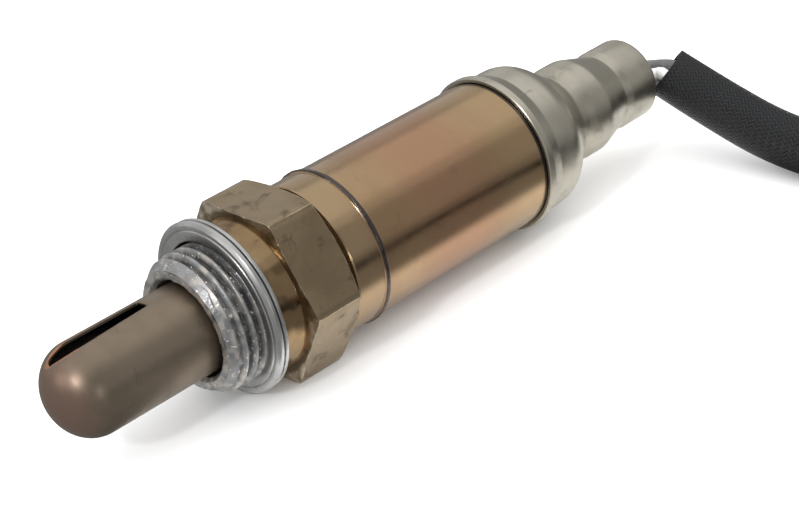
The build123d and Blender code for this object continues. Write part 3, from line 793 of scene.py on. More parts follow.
def finish_mesh(mesh: BMesh, name: str, sharp: float = 32.0) -> Object:
    """Turn a BMesh into a linked object with smooth faces and sharp creases.

    Args:
        mesh: The BMesh, in millimetres. It is freed.
        name: Name of the object.
        sharp: Edges that turn more than this many degrees stay sharp.

    Returns:
        The object, at the origin.
    """
    bmesh.ops.remove_doubles(mesh, verts=mesh.verts, dist=1e-5)
    bmesh.ops.dissolve_degenerate(mesh, edges=mesh.edges, dist=1e-6)
    bmesh.ops.recalc_face_normals(mesh, faces=mesh.faces)
    bmesh.ops.scale(mesh, vec=(MM, MM, MM), verts=mesh.verts)
    limit = math.radians(sharp)
    for face in mesh.faces:
        face.smooth = True
    for edge in mesh.edges:
        edge.smooth = len(edge.link_faces) == 2 and edge.calc_face_angle(0.0) < limit
    data = bpy.data.meshes.new(name)
    mesh.to_mesh(data)
    mesh.free()
    made = bpy.data.objects.new(name, data)
    bpy.context.scene.collection.objects.link(made)
    LOG.info("%s: %d faces", name, len(data.polygons))
    return made


def turned(profile: Sequence[Pair], closed: bool = True, steps: int = TURN_STEPS,
           centre: Pair = (0.0, 0.0)) -> BMesh:
    """Spin a profile about the X axis.

    Args:
        profile: (x, radius) points in millimetres.
        closed: Join the last point to the first.
        steps: Spans round the axis.
        centre: (y, z) of the axis.

    Returns:
        A BMesh in millimetres.
    """
    mesh = bmesh.new()
    verts = [mesh.verts.new((x, 0.0, r)) for x, r in profile]
    pairs = list(zip(verts, verts[1:])) + ([(verts[-1], verts[0])] if closed else [])
    edges = [mesh.edges.new(pair) for pair in pairs]
    bmesh.ops.spin(mesh, geom=verts + edges, cent=(0, 0, 0), axis=(1, 0, 0), angle=math.tau,
                   steps=steps, use_merge=True)
    bmesh.ops.translate(mesh, vec=(0.0, *centre), verts=mesh.verts)
    return mesh


def grid_surface(rows: Sequence[float], steps: int,
                 radius: Callable[[float, float], float]) -> BMesh:
    """Build a sleeve-like surface from a radius that depends on place and angle.

    Args:
        rows: Places along the axis.
        steps: Spans round the axis.
        radius: Radius for a place and an angle.

    Returns:
        A BMesh in millimetres.
    """
    mesh = bmesh.new()
    rings = []
    for x in rows:
        ring = []
        for i in range(steps):
            angle = math.tau * i / steps
            r = radius(x, angle)
            ring.append(mesh.verts.new((x, r * math.sin(angle), r * math.cos(angle))))
        rings.append(ring)
    for low, high in zip(rings, rings[1:]):
        for i in range(steps):
            j = (i + 1) % steps
            mesh.faces.new((low[i], low[j], high[j], high[i]))
    return mesh


def tube(rings: Sequence[tuple[Vector, Vector, float, float]], steps: int) -> BMesh:
    """Sweep circles along a line and close both ends.

    Args:
        rings: (centre, direction, radius, distance along) of each circle, in millimetres.
        steps: Spans round the circle.

    Returns:
        A BMesh whose UV map holds the distance along and the share of the way round.
    """
    mesh = bmesh.new()
    layer = mesh.loops.layers.uv.new("surface")
    side = Vector((0, 0, -1))
    made = []
    for centre, direction, radius, along in rings:
        ahead = direction.normalized()
        side = (side - ahead * side.dot(ahead)).normalized()
        other = ahead.cross(side)
        circle = [mesh.verts.new(centre + (side * math.cos(a) + other * math.sin(a)) * radius)
                  for a in (math.tau * i / steps for i in range(steps))]
        made.append((circle, along))
    for (low, start), (high, end) in zip(made, made[1:]):
        for i in range(steps):
            j = (i + 1) % steps
            face = mesh.faces.new((low[i], low[j], high[j], high[i]))
            places = (start, i), (start, i + 1), (end, i + 1), (end, i)
            for loop, (along, turn) in zip(face.loops, places):
                loop[layer].uv = (along, turn / steps)
    mesh.faces.new(made[0][0])
    mesh.faces.new(made[-1][0])
    return mesh


def joined(mesh: BMesh, *others: BMesh) -> BMesh:
    """Add other meshes to a mesh.

    Args:
        mesh: The mesh that takes them.
        *others: What is added. They are freed.

    Returns:
        The same mesh.
    """
    for other in others:
        copy = bpy.data.meshes.new("copy")
        other.to_mesh(copy)
        other.free()
        mesh.from_mesh(copy)
        bpy.data.meshes.remove(copy)
    return mesh


def mark(piece: Object, name: str, value_at: Callable[[float, float, float], float]) -> None:
    """Write a value at each vertex, for a finish to read.

    Args:
        piece: The object.
        name: Name of the attribute.
        value_at: Value for a place in millimetres.
    """
    marks = piece.data.attributes.new(name, "FLOAT", "POINT")
    for vertex, entry in zip(piece.data.vertices, marks.data):
        entry.value = value_at(*(c / MM for c in vertex.co))


def dress(piece: Object, slot: Slot, *nodes: str, finish: Finish | None = None) -> Object:
    """Give a piece the finish of its slot and its body, and hide the CAD nodes that it stands for.

    Args:
        piece: The object.
        slot: Material slot of the record.
        *nodes: CAD nodes that it replaces.
        finish: Finish to use in place of the slot's own.

    Returns:
        The same object.
    """
    piece.data.materials.append((finish or FINISHES[slot]).material())
    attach(piece, "root")
    if nodes:
        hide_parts(*nodes)
    return piece


# ------------------------------------------------------------------ lead
@dataclass
class Lead:
    """Braided lead: from the wires down to the surface, one turn, and inwards to the plug.

    Its near end is cut at a slant, and the cut's plane turns square within cut_reach.
    """

    diameter: float = 7.4
    wall: float = 0.55
    start: tuple[Triple, ...] = (
        (80.9, -3.4, -0.3), (80.9, -12.0, -3.45), (81.1, -23.0, -6.85), (81.5, -34.5, -7.3),
        (82.0, -46.5, -7.3), (82.65, -58.5, -7.3), (83.35, -70.5, -7.3), (83.9, -82.5, -7.3),
        (84.2, -94.5, -7.3))
    coil: Pair = (43.3, -107.4)
    coil_radius: float = 40.8
    coil_angles: tuple[float, float, int] = (3.0, -278.0, 17)
    tail_angle: float = 66.0
    tail_heading: float = -38.7
    tail_turns: tuple[float, ...] = (21.4, 19.9, 24.9, 24.1, 26.7, 25.4, 14.3)
    tail_runs: tuple[float, ...] = (12.0, 12.0, 12.0, 12.0, 12.0, 12.0, 11.3, 6.6)
    cut: Triple = (0.312, -0.7, -0.641)
    cut_reach: float = 9.0
    bore_taper: float = 0.96
    span_steps: int = 11
    round_steps: int = 64
    plug: tuple[str, ...] = ("coil_tie", "end_sleeve", "plug_wires", "plug_housing", "plug_lock",
                             "plug_nose_seal", "plug_rear_seal", "plug_terminals")

    def on_coil(self, radius: float, degrees: float) -> Triple:
        """Place on the surface at a radius and an angle from the middle of the turn."""
        (x, y), angle, z = self.coil, math.radians(degrees), FLOOR_Z + self.diameter / 2
        return x + radius * math.cos(angle), y + radius * math.sin(angle), z

    def route(self) -> list[Triple]:
        """List the control points of the whole lead.

        Returns:
            The points in millimetres: the way down, the turn and the tail.
        """
        first, last, count = self.coil_angles
        polygon = self.coil_radius / math.cos(math.radians((first - last) / count / 2))
        turn = [self.on_coil(polygon, a) for a in steps_between(first, last, count)]
        points = [*self.start, *turn, self.on_coil(self.coil_radius, self.tail_angle)]
        heading = self.tail_heading
        for run, turn in zip(self.tail_runs, (*self.tail_turns, 0.0)):
            x, y, z = points[-1]
            angle = math.radians(heading)
            points.append((x + run * math.cos(angle), y + run * math.sin(angle), z))
            heading -= turn
        return points

    def centreline(self) -> list[Vector]:
        """Round the route by parabolas that touch the middle of each run.

        Returns:
            The centreline in millimetres.
        """
        points = [Vector(p) for p in self.route()]
        middles = [(a + b) / 2 for a, b in zip(points[1:-1], points[2:-1])]
        stations = [points[0], *middles, points[-1]]
        line = [stations[0]]
        for start, corner, end in zip(stations, points[1:-1], stations[1:]):
            for t in steps_between(0.0, 1.0, self.span_steps)[1:]:
                line.append(start.lerp(corner, t).lerp(corner.lerp(end, t), t))
        return line

    def build(self) -> list[Object]:
        """Make the lead as one tube that is open at the near end, and log its length.

        Returns:
            The lead.
        """
        line = self.centreline()
        cut, bore = Vector(self.cut), self.diameter / 2 - self.wall
        rings = [(line[4], line[5] - line[4], bore * self.bore_taper, 0.0),
                 (line[1], cut, bore, 0.0), (line[0], cut, bore, 0.0)]
        along = 0.0
        for before, here, after in neighbours(line):
            along += (here - before).length
            square = min(along / self.cut_reach, 1.0)
            facing = cut.lerp((after - before).normalized(), square)
            rings.append((here, facing, self.diameter / 2, along))
        lead = finish_mesh(tube(rings, self.round_steps), "lead", 60.0)
        dress(lead, Slot.BRAID, "lead_sheath", "lead_coil", "lead_tail")
        LOG.info("lead: %.1f mm", along)
        return [lead]


@dataclass
class SensorWires:
    """Four wires that leave the grommet and bend into the open end of the sheath.

    A wire that leaves further out swings wider: a pull is a reach and its growth per millimetre.
    """

    pitch: float = 2.7
    radius: float = 0.95
    start_x: float = 61.5
    free_x: float = 70.0
    mouth_x: float = 75.4
    droop: float = 1.5
    sheath: Triple = Lead.start[0]
    heading: Triple = (0.0, -0.944, -0.33)
    squeeze: float = 0.75
    out_pull: Pair = (2.4, 0.55)
    in_pull: Pair = (1.7, 0.5)
    inside: float = 3.0
    bend_steps: int = 24
    round_steps: int = 24

    def wire(self, y: float, z: float) -> BMesh:
        """Make one wire through the grommet and round the bend.

        Args:
            y: Its place across the grommet.
            z: Its height in the grommet.

        Returns:
            The wire in millimetres.
        """
        heading, across = Vector(self.heading).normalized(), Vector((1, 0, 0))
        up = across.cross(heading) * -1
        end = Vector(self.sheath) + across * y + up * (z * self.squeeze - self.droop * 0.5)
        mouth = Vector((self.mouth_x, y, z))
        out_pull, in_pull = (reach + growth * y for reach, growth in (self.out_pull, self.in_pull))
        first = mouth + Vector((out_pull, 0, -self.droop))
        last = end - heading * in_pull - Vector((0, 0, self.droop * 0.6))
        bend = [mouth * (1 - t) ** 3 + first * 3 * t * (1 - t) ** 2 + last * 3 * t * t * (1 - t)
                + end * t ** 3 for t in steps_between(0.0, 1.0, self.bend_steps)[1:]]
        points = [Vector((self.start_x, y, z)), Vector((self.free_x, y, z)), mouth, *bend,
                  end + heading * self.inside]
        rings = [(here, after - before, self.radius, 0.0)
                 for before, here, after in neighbours(points)]
        return tube(rings, self.round_steps)

    def build(self) -> list[Object]:
        """Make the heater pair and the signal pair.

        Returns:
            The two pairs.
        """
        half = self.pitch / 2
        pairs = ("heater_wires", -half, Slot.WIRE_WHITE), ("signal_wires", half, Slot.WIRE_GREY)
        made = []
        for name, y, slot in pairs:
            both = joined(bmesh.new(), self.wire(y, half), self.wire(y, -half))
            made.append(dress(finish_mesh(both, name + "_look", 60.0), slot, name))
        return made


# ------------------------------------------------------------------ nose and shell
@dataclass
class ProtectionTube:
    """Domed tube with two long slots and their pressed flaps."""

    radius: float = 5.93
    wall: float = 0.4
    reach: float = 24.3
    dome: float = 5.1
    seat: float = 3.0
    flange_radius: float = 7.6
    flange_wall: float = 0.45
    slot_rear: float = -9.1
    slot_front: float = -22.6
    slot_far: float = 1.85
    slot_near: tuple[Pair, ...] = ((-22.6, 0.82), (-22.1, 0.11), (-21.55, -0.42), (-20.7, -0.89),
                                   (-19.44, -1.12), (-9.1, -0.45))
    slot_corner: float = 0.35
    flap_depth: float = 1.45
    flap_wall: float = 0.32
    flap_bend: Pair = (20.0, 58.0)
    flap_rows: int = 28
    flap_columns: int = 6
    steps: int = 24

    def outline(self, inset: float) -> list[Pair]:
        """List the dome's half outline.

        Args:
            inset: How far it is moved towards the axis.

        Returns:
            (x, radius) points from the apex to the tube.
        """
        length, radius, centre = self.dome - inset, self.radius - inset, self.dome - self.reach
        angles = (math.pi / 2 * i / self.steps for i in range(self.steps + 1))
        return [(centre - length * math.cos(a), radius * math.sin(a)) for a in angles]

    def surface_radius(self, x: float) -> float:
        """Outer radius of the tube or of its dome at a place along the axis."""
        past = max(self.dome - self.reach - x, 0.0) / self.dome
        return self.radius * math.sqrt(max(1.0 - past * past, 0.0))

    def near_edge(self, x: float) -> float:
        """Find the slot's nearer edge.

        Args:
            x: Place along the axis.

        Returns:
            The edge's Y.
        """
        for (x0, y0), (x1, y1) in zip(self.slot_near, self.slot_near[1:]):
            if x <= x1:
                return y0 + (y1 - y0) * (x - x0) / (x1 - x0)
        return self.slot_near[-1][1]

    def body(self) -> Object:
        """Turn the drawn tube with its flange.

        Returns:
            The tube, uncut.
        """
        rear, bore = self.seat + self.flange_wall, self.radius - self.wall
        straight = steps_between(self.dome - self.reach, self.seat - 0.6, self.steps)[1:]
        outer = self.outline(0.0) + [(x, self.radius) for x in straight]
        flare = [(self.seat - 0.15, self.radius + 0.1), (self.seat, self.radius + 0.4),
                 (self.seat, self.flange_radius), (rear, self.flange_radius)]
        inner = self.outline(self.wall) + [(x, bore) for x in (*straight, rear)]
        line = outer + flare + inner[::-1]
        return finish_mesh(turned(line, closed=False), "protection_tube_look")

    def cutter(self, side: int) -> Object:
        """Make the solid that cuts one slot.

        Args:
            side: 1 above the axis, -1 below it.

        Returns:
            The solid.
        """
        near = [(x, y, 0.3 if x > -10.0 else 0.1) for x, y in self.slot_near]
        middle = (self.slot_rear, 0.2, 0)
        line = rounded([middle, (self.slot_rear, self.slot_far, self.slot_corner),
                        (self.slot_front + 0.5, self.slot_far, 0.5), *near, middle])[:-1]
        mesh = bmesh.new()
        face = mesh.faces.new([mesh.verts.new((x, y, side * 0.6)) for x, y in line])
        made = bmesh.ops.extrude_face_region(mesh, geom=[face])
        top = [v for v in made["geom"] if isinstance(v, BMVert)]
        bmesh.ops.translate(mesh, vec=(0, 0, side * 9.0), verts=top)
        return finish_mesh(mesh, "slot_cutter")

    def flap(self, side: int) -> BMesh:
        """Make the flap that is pressed in from the sloping edge of a slot.

        Args:
            side: 1 above the axis, -1 below it.

        Returns:
            The flap in millimetres.
        """
        rows = []
        start, bend = self.flap_bend
        for t in steps_between(0.0, 1.0, self.flap_rows):
            x = self.slot_rear + self.slot_corner + (self.slot_front - self.slot_rear + 0.6) * t
            y = self.near_edge(x)
            root = math.sqrt((self.surface_radius(x) - 0.1) ** 2 - y ** 2)
            reach = self.flap_depth * min(1.0, 3.2 * t + 0.15, 3.2 * (1 - t) + 0.15)
            row = []
            for u in steps_between(0.0, 1.0, self.flap_columns):
                angle, out = math.radians(start + bend * eased(u, 0.0, 0.6)), reach * u
                row.append((x, y - 0.08 + out * math.cos(angle), root - out * math.sin(angle)))
            rows.append(row)
        mesh = bmesh.new()
        outer, inner = ([[mesh.verts.new((x, y, side * (z - inset))) for x, y, z in row]
                         for row in rows] for inset in (0.0, self.flap_wall))
        tips = [[row[-1] for row in grid] for grid in (outer, inner)]
        strips = [*zip(outer, outer[1:]), *zip(inner, inner[1:]), tips,
                  (outer[0], inner[0]), (outer[-1], inner[-1])]
        for low, high in strips:
            for a, b, c, d in zip(low, low[1:], high[1:], high):
                mesh.faces.new((a, b, c, d))
        return mesh

    def painted_slot_glint(self, x: float, y: float, z: float) -> float:
        """Tell how strongly a painted copper glint shows on the rim of a slot.

        Args:
            x: Place along the axis.
            y: Place across it.
            z: Height.

        Returns:
            0 away from the slot's front end, and 1 at its edge.
        """
        gap = max(self.near_edge(x) - y, y - self.slot_far, x - self.slot_rear, self.slot_front - x)
        if gap < -0.2 or abs(z) < 2.0:
            return 0.0
        return (1.0 - eased(gap, 0.02, 0.4)) * eased(-x, 17.0, 21.5)

    def painted_inner_shade(self, x: float, y: float, z: float) -> float:
        """Share of painted shade at a place: none outside, full 0.3 mm below the outer surface."""
        return eased(self.surface_radius(x) - math.hypot(y, z), 0.04, 0.3)

    def build(self) -> list[Object]:
        """Make the tube, cut its slots and add the flaps.

        Returns:
            The tube and its two flaps.
        """
        body = self.body()
        for side in (1, -1):
            cutter = self.cutter(side)
            cut = body.modifiers.new("slot", "BOOLEAN")
            cut.operation, cut.solver, cut.object = "DIFFERENCE", "EXACT", cutter
            shown = body.evaluated_get(bpy.context.evaluated_depsgraph_get())
            baked = bpy.data.meshes.new_from_object(shown)
            body.modifiers.clear()
            body.data = baked
            bpy.data.objects.remove(cutter)
        body.data.materials.clear()
        # A painted glint on the slots' front edges.
        mark(body, "edge", self.painted_slot_glint)
        # Painted shade inside the tube.
        mark(body, "painted_inner_shade", self.painted_inner_shade)
        made = [dress(body, Slot.TUBE, "protection_tube")]
        for side in (1, -1):
            flap = finish_mesh(self.flap(side), "slot_flap_look")
            # Painted shade on the flap inside the tube.
            mark(flap, "painted_inner_shade", self.painted_inner_shade)
            made.append(dress(flap, Slot.TUBE))
        return made


@dataclass
class ThreadedShell:
    """Shell of the sensor: pasted thread and rim, collar, stained hexagon, barrel and lip."""

    thread_radius: float = 9.0
    pitch: float = 1.5
    depth: float = 0.92
    front: float = -4.7
    bore: float = 6.4
    thread_end: float = 2.0
    relief_x: float = 0.4
    lead_in: Pair = (1.2, 1.6)
    paste_depth: float = 0.68
    paste_swell: Pair = (0.2, 0.28)
    swell_y: Pair = (-2.0, 6.0)
    paste_lumps: tuple[Triple, ...] = ((1.0, 0.6, 7.0), (0.5, 1.7, 3.0))
    paste_blend: float = 0.06
    grit: tuple[Triple, ...] = ((0.045, 3.1, 11.0), (0.03, 6.3, 5.0))
    dry_grit: float = 0.35
    bare_lumps: Triple = (1.0, 0.9, 21.0)
    rim_lumps: tuple[Triple, ...] = ((0.12, 0.8, 9.0), (0.07, 2.4, 2.0))
    wear_lumps: Triple = (0.45, 0.8, 31.0)
    collar_end: float = 5.45
    collar_radius: float = 9.9
    hex_start: float = 5.4
    hex_end: float = 12.9
    apothem: float = 11.0
    face_share: float = 0.985
    chamfers: Pair = (8.0, 20.0)
    edge_round: Pair = (0.16, 0.55)
    barrel: float = 9.6
    barrel_end: float = 23.6
    lip: float = 6.3
    cavity: float = 7.7
    cavity_start: float = 3.0

    @property
    def corner(self) -> float:
        """Distance of the hexagon's corners from the axis."""
        return self.apothem / math.cos(SIXTH)

    @property
    def face(self) -> float:
        """Radius of the turned faces at the hexagon's ends."""
        return self.face_share * self.apothem

    @property
    def slopes(self) -> Pair:
        """Length of the front and of the rear chamfer per millimetre of radius."""
        front, rear = self.chamfers
        return math.tan(math.radians(front)), math.tan(math.radians(rear))

    @staticmethod
    def sector(angle: float) -> float:
        """Angle from the middle of the nearest flat."""
        return (angle + SIXTH) % (2 * SIXTH) - SIXTH

    def thread_depth(self, station: float) -> float:
        """Depth of the thread form below its crest at a station along the thread."""
        phase = abs((station / self.pitch) % 1.0 - 0.5) * 2.0
        return self.depth * eased(phase, 0.1, 0.92)

    def thread_radius_at(self, x: float, angle: float) -> float:
        """Work out the radius of the pasted thread.

        Args:
            x: Place along the axis.
            angle: Angle round it, from +Z to +Y.

        Returns:
            The radius in millimetres.
        """
        if x >= self.relief_x:
            return self.thread_radius
        y, z = self.thread_radius * math.sin(angle), self.thread_radius * math.cos(angle)
        start = eased(x, self.front + 0.1, self.front + 1.7)
        form = self.thread_radius - self.thread_depth(x - self.pitch * angle / math.tau) * start
        drop, length = self.lead_in
        ramp = self.thread_radius - drop * (1.0 - min(max((x - self.front) / length, 0.0), 1.0))
        steel = min(form, ramp)
        least, more = self.paste_swell
        swell = (least + more * eased(y, *self.swell_y)) * lumps(x, y, z, *self.paste_lumps)
        fill = min(self.thread_radius - self.paste_depth + swell, ramp + 0.05)
        paste = 1.0 / (1.0 + math.exp(-(fill - steel) / self.paste_blend))
        grit = lumps(x, y, z, *self.grit) * (self.dry_grit + (1.0 - self.dry_grit) * paste)
        return steel + paste * (fill - steel) + grit * start

    def thread_paste(self, x: float, y: float, z: float) -> float:
        """Share of paste at a place on the thread. The crests keep less of it."""
        below = self.thread_radius - math.hypot(y, z)
        return eased(lumps(x, y, z, self.bare_lumps) + 0.25 * below, -0.45, 0.2)

    def groove(self, x: float, y: float, z: float) -> float:
        """Share of shade at a place on the thread: full in its roots, none at its front end."""
        below = eased(self.thread_radius - math.hypot(y, z), 0.3, 0.72)
        return below * eased(x, self.front + 0.9, self.front + 1.9)

    def thread(self) -> Object:
        """Make the thread as a surface with the paste on it.

        Returns:
            The thread.
        """
        rows = steps_between(self.front, self.thread_end, 118)
        mesh = grid_surface(rows, FINE_STEPS, self.thread_radius_at)
        made = finish_mesh(mesh, "thread_look", 70.0)
        mark(made, "paste", self.thread_paste)
        mark(made, "groove", self.groove)
        return dress(made, Slot.SHELL, finish=PASTE)

    def rim(self) -> Object:
        """Turn the front rim and its bore, with the paste that was pushed over them.

        Returns:
            The rim.
        """
        end = self.thread_radius_at(self.front, 0.0)
        line = rounded([(0.0, self.bore, 0), (self.front + 0.5, self.bore, 0.25),
                        (self.front, self.bore + 0.45, 0.25), (self.front, self.bore + 0.9, 0),
                        (self.front + 0.01, end, 0)], 4)
        dense = [line[0]]
        for (x0, r0), (x1, r1) in zip(line, line[1:]):
            count = max(1, round(math.hypot(x1 - x0, r1 - r0) / 0.12))
            dense += zip(steps_between(x0, x1, count)[1:], steps_between(r0, r1, count)[1:])
        mesh = turned(dense, closed=False, steps=FINE_STEPS)
        for vertex in mesh.verts:
            x, y, z = vertex.co
            share = 1.0 - eased(x, self.front, self.front + 1.2)
            vertex.co.x += share * (lumps(x, y, z, *self.rim_lumps) - 0.04)
        made = finish_mesh(mesh, "rim_look", 70.0)
        mark(made, "paste", lambda x, y, z: eased(lumps(x, y, z, self.bare_lumps), -0.3, 0.3))
        return dress(made, Slot.SHELL, finish=PASTE)

    def body(self) -> Object:
        """Turn the bores, the barrel and the rolled lip.

        Returns:
            The body.
        """
        start, end = self.hex_end - 0.1, self.barrel_end
        line = rounded([
            (start, self.thread_radius, 0), (start, self.barrel, 0), (end - 1.4, self.barrel, 0.8),
            (end, self.barrel - 1.0, 0.5), (end, self.lip, 0.3), (end - 1.2, self.lip, 0.2),
            (end - 1.2, self.cavity, 0), (self.cavity_start, self.cavity, 0),
            (self.cavity_start, self.bore, 0.1), (0.0, self.bore, 0)])
        made = finish_mesh(turned(line, closed=False), "shell_body_look")
        return dress(made, Slot.SHELL, "sensor_shell")

    def collar(self) -> Object:
        """Turn the polished collar that flares into the hexagon's front face.

        Returns:
            The collar.
        """
        start, end, radius = self.thread_end, self.collar_end, self.collar_radius
        flare = radius + 0.3
        line = rounded([
            (start, self.thread_radius, 0), (start, radius, 0.25), (start + 1.9, radius, 2.4),
            (end - 0.1, flare, 0.1), (end, flare, 0), (end, self.thread_radius, 0)], 12)
        return dress(finish_mesh(turned(line), "collar_look"), Slot.SHELL, finish=COLLAR)

    def hex_radius(self, x: float, angle: float) -> float:
        """Work out how far the hexagon's surface lies from the axis.

        Args:
            x: Place along the axis.
            angle: Angle round it.

        Returns:
            The distance in millimetres.
        """
        sector = self.sector(angle)
        depth, width = self.edge_round
        soft = depth * math.exp(-((SIXTH - abs(sector)) * self.corner / width) ** 2)
        front, rear = self.slopes
        limit = min(self.face + (x - self.hex_start) / front,
                    self.face + (self.hex_end - x) / rear, self.corner)
        return min(self.apothem / math.cos(sector) - soft, limit)

    def wear(self, x: float, y: float, z: float) -> float:
        """Tell how worn the hexagon is.

        Args:
            x: Place along the axis.
            y: Place across it.
            z: Height.

        Returns:
            0 on the flats, and up to 1 along the edges.
        """
        angle, r = math.atan2(y, z), math.hypot(y, z)
        ridge = 1.0 - eased((SIXTH - abs(self.sector(angle))) * self.corner, 0.0, 0.24)
        front, rear = self.slopes
        gaps = ((r - self.face) * front - (x - self.hex_start),
                (r - self.face) * rear - (self.hex_end - x))
        rim = max(1.0 - eased(abs(min(gap, 0.0)), 0.0, 0.16) for gap in gaps)
        edge_and_crest_mark = max(ridge, rim * eased(r, self.face - 0.2, self.face + 0.1))
        return edge_and_crest_mark * (0.55 + lumps(x, y, z, self.wear_lumps))

    def hex_head(self) -> Object:
        """Make the hexagon with its turned chamfers and its two end faces.

        Returns:
            The hexagon.
        """
        start, end = self.hex_start, self.hex_end
        rows = [*steps_between(start, start + 0.3, 8), *steps_between(start + 0.35, end - 0.8, 24),
                *steps_between(end - 0.76, end, 26)]
        faces = [turned([(x, inner), (x, self.face)], closed=False, steps=HEX_STEPS)
                 for x, inner in ((start, 9.6), (end, 9.4))]
        mesh = joined(grid_surface(rows, HEX_STEPS, self.hex_radius), *faces)
        made = finish_mesh(mesh, "hexagon_look", 18.0)
        mark(made, "edge", self.wear)
        return dress(made, Slot.SHELL)

    def build(self) -> list[Object]:
        """Make every piece of the shell."""
        return [self.body(), self.collar(), self.rim(), self.thread(), self.hex_head()]


# ------------------------------------------------------------------ ring, sleeve and cap
@dataclass
class SealRing:
    """Folded sheet ring that lies loose on the thread's end."""

    outer: float = 11.4
    inner: float = 8.95
    fold_bore: float = 9.4
    crease: float = 10.4
    front: float = 0.12
    split: float = 1.12
    width: float = 1.98
    lift: float = 0.4
    buckle: Triple = (0.05, 0.12, 2.0)
    steps: int = 256

    def build(self) -> list[Object]:
        """Turn the two folds, the crease in the front one and the groove between them.

        Returns:
            The ring.
        """
        front, crease, split = self.front, self.crease, self.split
        outer, rear = self.outer, self.width
        line = rounded([
            (split - 0.3, self.inner, 0), (0.25, self.inner, 0.15), (front, 9.9, 0.1),
            (front, crease - 0.15, 0.1), (0.3, crease, 0.08), (front, crease + 0.15, 0.1),
            (front, 10.95, 0.3), (0.5, outer, 0.3), (split - 0.16, outer, 0.14),
            (split, outer - 0.8, 0.03), (split + 0.14, outer - 0.06, 0.12),
            (rear - 0.3, outer - 0.02, 0.25), (rear, outer - 0.5, 0.2),
            (rear, self.fold_bore, 0.15), (split + 0.3, self.fold_bore, 0)])
        mesh = turned(line, steps=self.steps, centre=(0.0, self.lift))
        for vertex in mesh.verts:
            vertex.co.x += lumps(0.0, vertex.co.y, vertex.co.z, self.buckle)
        return [dress(finish_mesh(mesh, "seal_ring_look", 40.0), Slot.RING, "seal_ring")]


@dataclass
class Sleeve:
    """Heat-tinted sleeve with its welded bead and a rear edge darkened by painted shade."""

    radius: float = 10.35
    wall: float = 0.7
    start: float = 14.0
    end: float = 48.3
    bead: float = 18.7
    bead_rise: float = 0.36
    ripples: Pair = (0.05, 70.0)
    bead_lumps: Triple = (0.15, 0.9, 4.0)
    bead_melt: float = 0.85
    edge: Pair = (0.95, 0.85)

    def tint(self, x: float, y: float, z: float) -> float:
        """Share of darkening: full on the bead, its weld colour, and on the rear edge, painted
        shade.
        """
        dark_from, dark_at = (self.end - back for back in self.edge)
        return max(eased(math.hypot(y, z) - self.radius, 0.0, 0.12), eased(x, dark_from, dark_at))

    def ripple(self, mesh: BMesh) -> None:
        """Make the bead uneven, as a weld is.

        Args:
            mesh: The sleeve in millimetres.
        """
        depth, count = self.ripples
        for vertex in mesh.verts:
            x, y, z = vertex.co
            rise = math.hypot(y, z) - self.radius
            if rise > 0.02:
                wave = depth * math.sin(math.atan2(y, z) * count)
                share = 1.0 + wave + lumps(x, y, z, self.bead_lumps)
                radius = self.radius + rise * share * self.bead_melt
                vertex.co.yz = Vector((y, z)) * radius / (self.radius + rise)

    def build(self) -> list[Object]:
        """Turn the sleeve and its bead.

        Returns:
            The sleeve.
        """
        r, b = self.radius, self.bead
        top, bore = r + self.bead_rise, r - self.wall
        dark_from, dark_at = (self.end - back for back in self.edge)
        line = rounded([
            (self.start, bore, 0), (self.start, r - 0.1, 0), (self.start + 0.2, r, 0.1),
            (b - 0.75, r, 0), (b - 0.42, r, 0.05), (b - 0.22, top, 0.2),
            (b + 0.22, top, 0.2), (b + 0.42, r, 0.05), (b + 0.75, r, 0),
            (dark_from, r, 0), (dark_at, r, 0), (self.end, r, 0), (self.end, bore, 0)])
        mesh = turned(line)
        self.ripple(mesh)
        sleeve = finish_mesh(mesh, "sleeve_look", 50.0)
        # Dark weld bead, and painted shade on the rear edge by the cap's lip.
        mark(sleeve, "edge", self.tint)
        return [dress(sleeve, Slot.SLEEVE, "protective_sleeve")]


@dataclass
class RearCap:
    """Drawn and rolled cap: lip, shoulder, waist, bulge, neck and mouth."""

    start: float = 47.9
    length: float = 28.1
    wall: float = 0.7
    seat: float = 10.45
    lip: float = 11.0
    shoulder: float = 10.3
    waist: float = 6.45
    bulge: float = 6.9
    neck: float = 5.5
    mouth: float = 5.85
    bore: float = 4.6

    def outer_line(self) -> list[Triple]:
        """List the outer profile from the lip to the mouth.

        Returns:
            (x, radius, corner radius) points.
        """
        stations = [
            (0.0, self.seat, 0), (0.0, self.lip - 0.15, 0.12), (0.15, self.lip, 0.12),
            (1.0, self.lip, 0.3), (2.9, self.shoulder, 1.0), (6.9, self.shoulder, 4.2),
            (11.9, self.waist, 1.4), (13.1, self.waist, 1.4), (14.4, self.bulge, 1.8),
            (17.2, self.bulge, 3.0), (21.9, self.neck, 0.5), (23.0, self.mouth, 0.8),
            (self.length, self.mouth, 0.9), (self.length, self.bore, 0.25)]
        return [(self.start + x, radius, corner) for x, radius, corner in stations]

    def build(self) -> list[Object]:
        """Turn the cap, inside and outside.

        Returns:
            The cap.
        """
        outer = rounded(self.outer_line(), 10)
        end_wall = self.start + self.length - 1.1
        inner = [(x - (self.wall if x > end_wall else 0.0), max(r - self.wall, self.bore))
                 for x, r in reversed(outer) if x > self.start + 2.0]
        seat = [(self.start + 0.4, 9.6), (self.start + 0.4, self.seat)]
        mesh = turned(outer + inner[:-1] + seat)
        return [dress(finish_mesh(mesh, "rear_cap_look", 45.0), Slot.CAP, "rear_cap")]


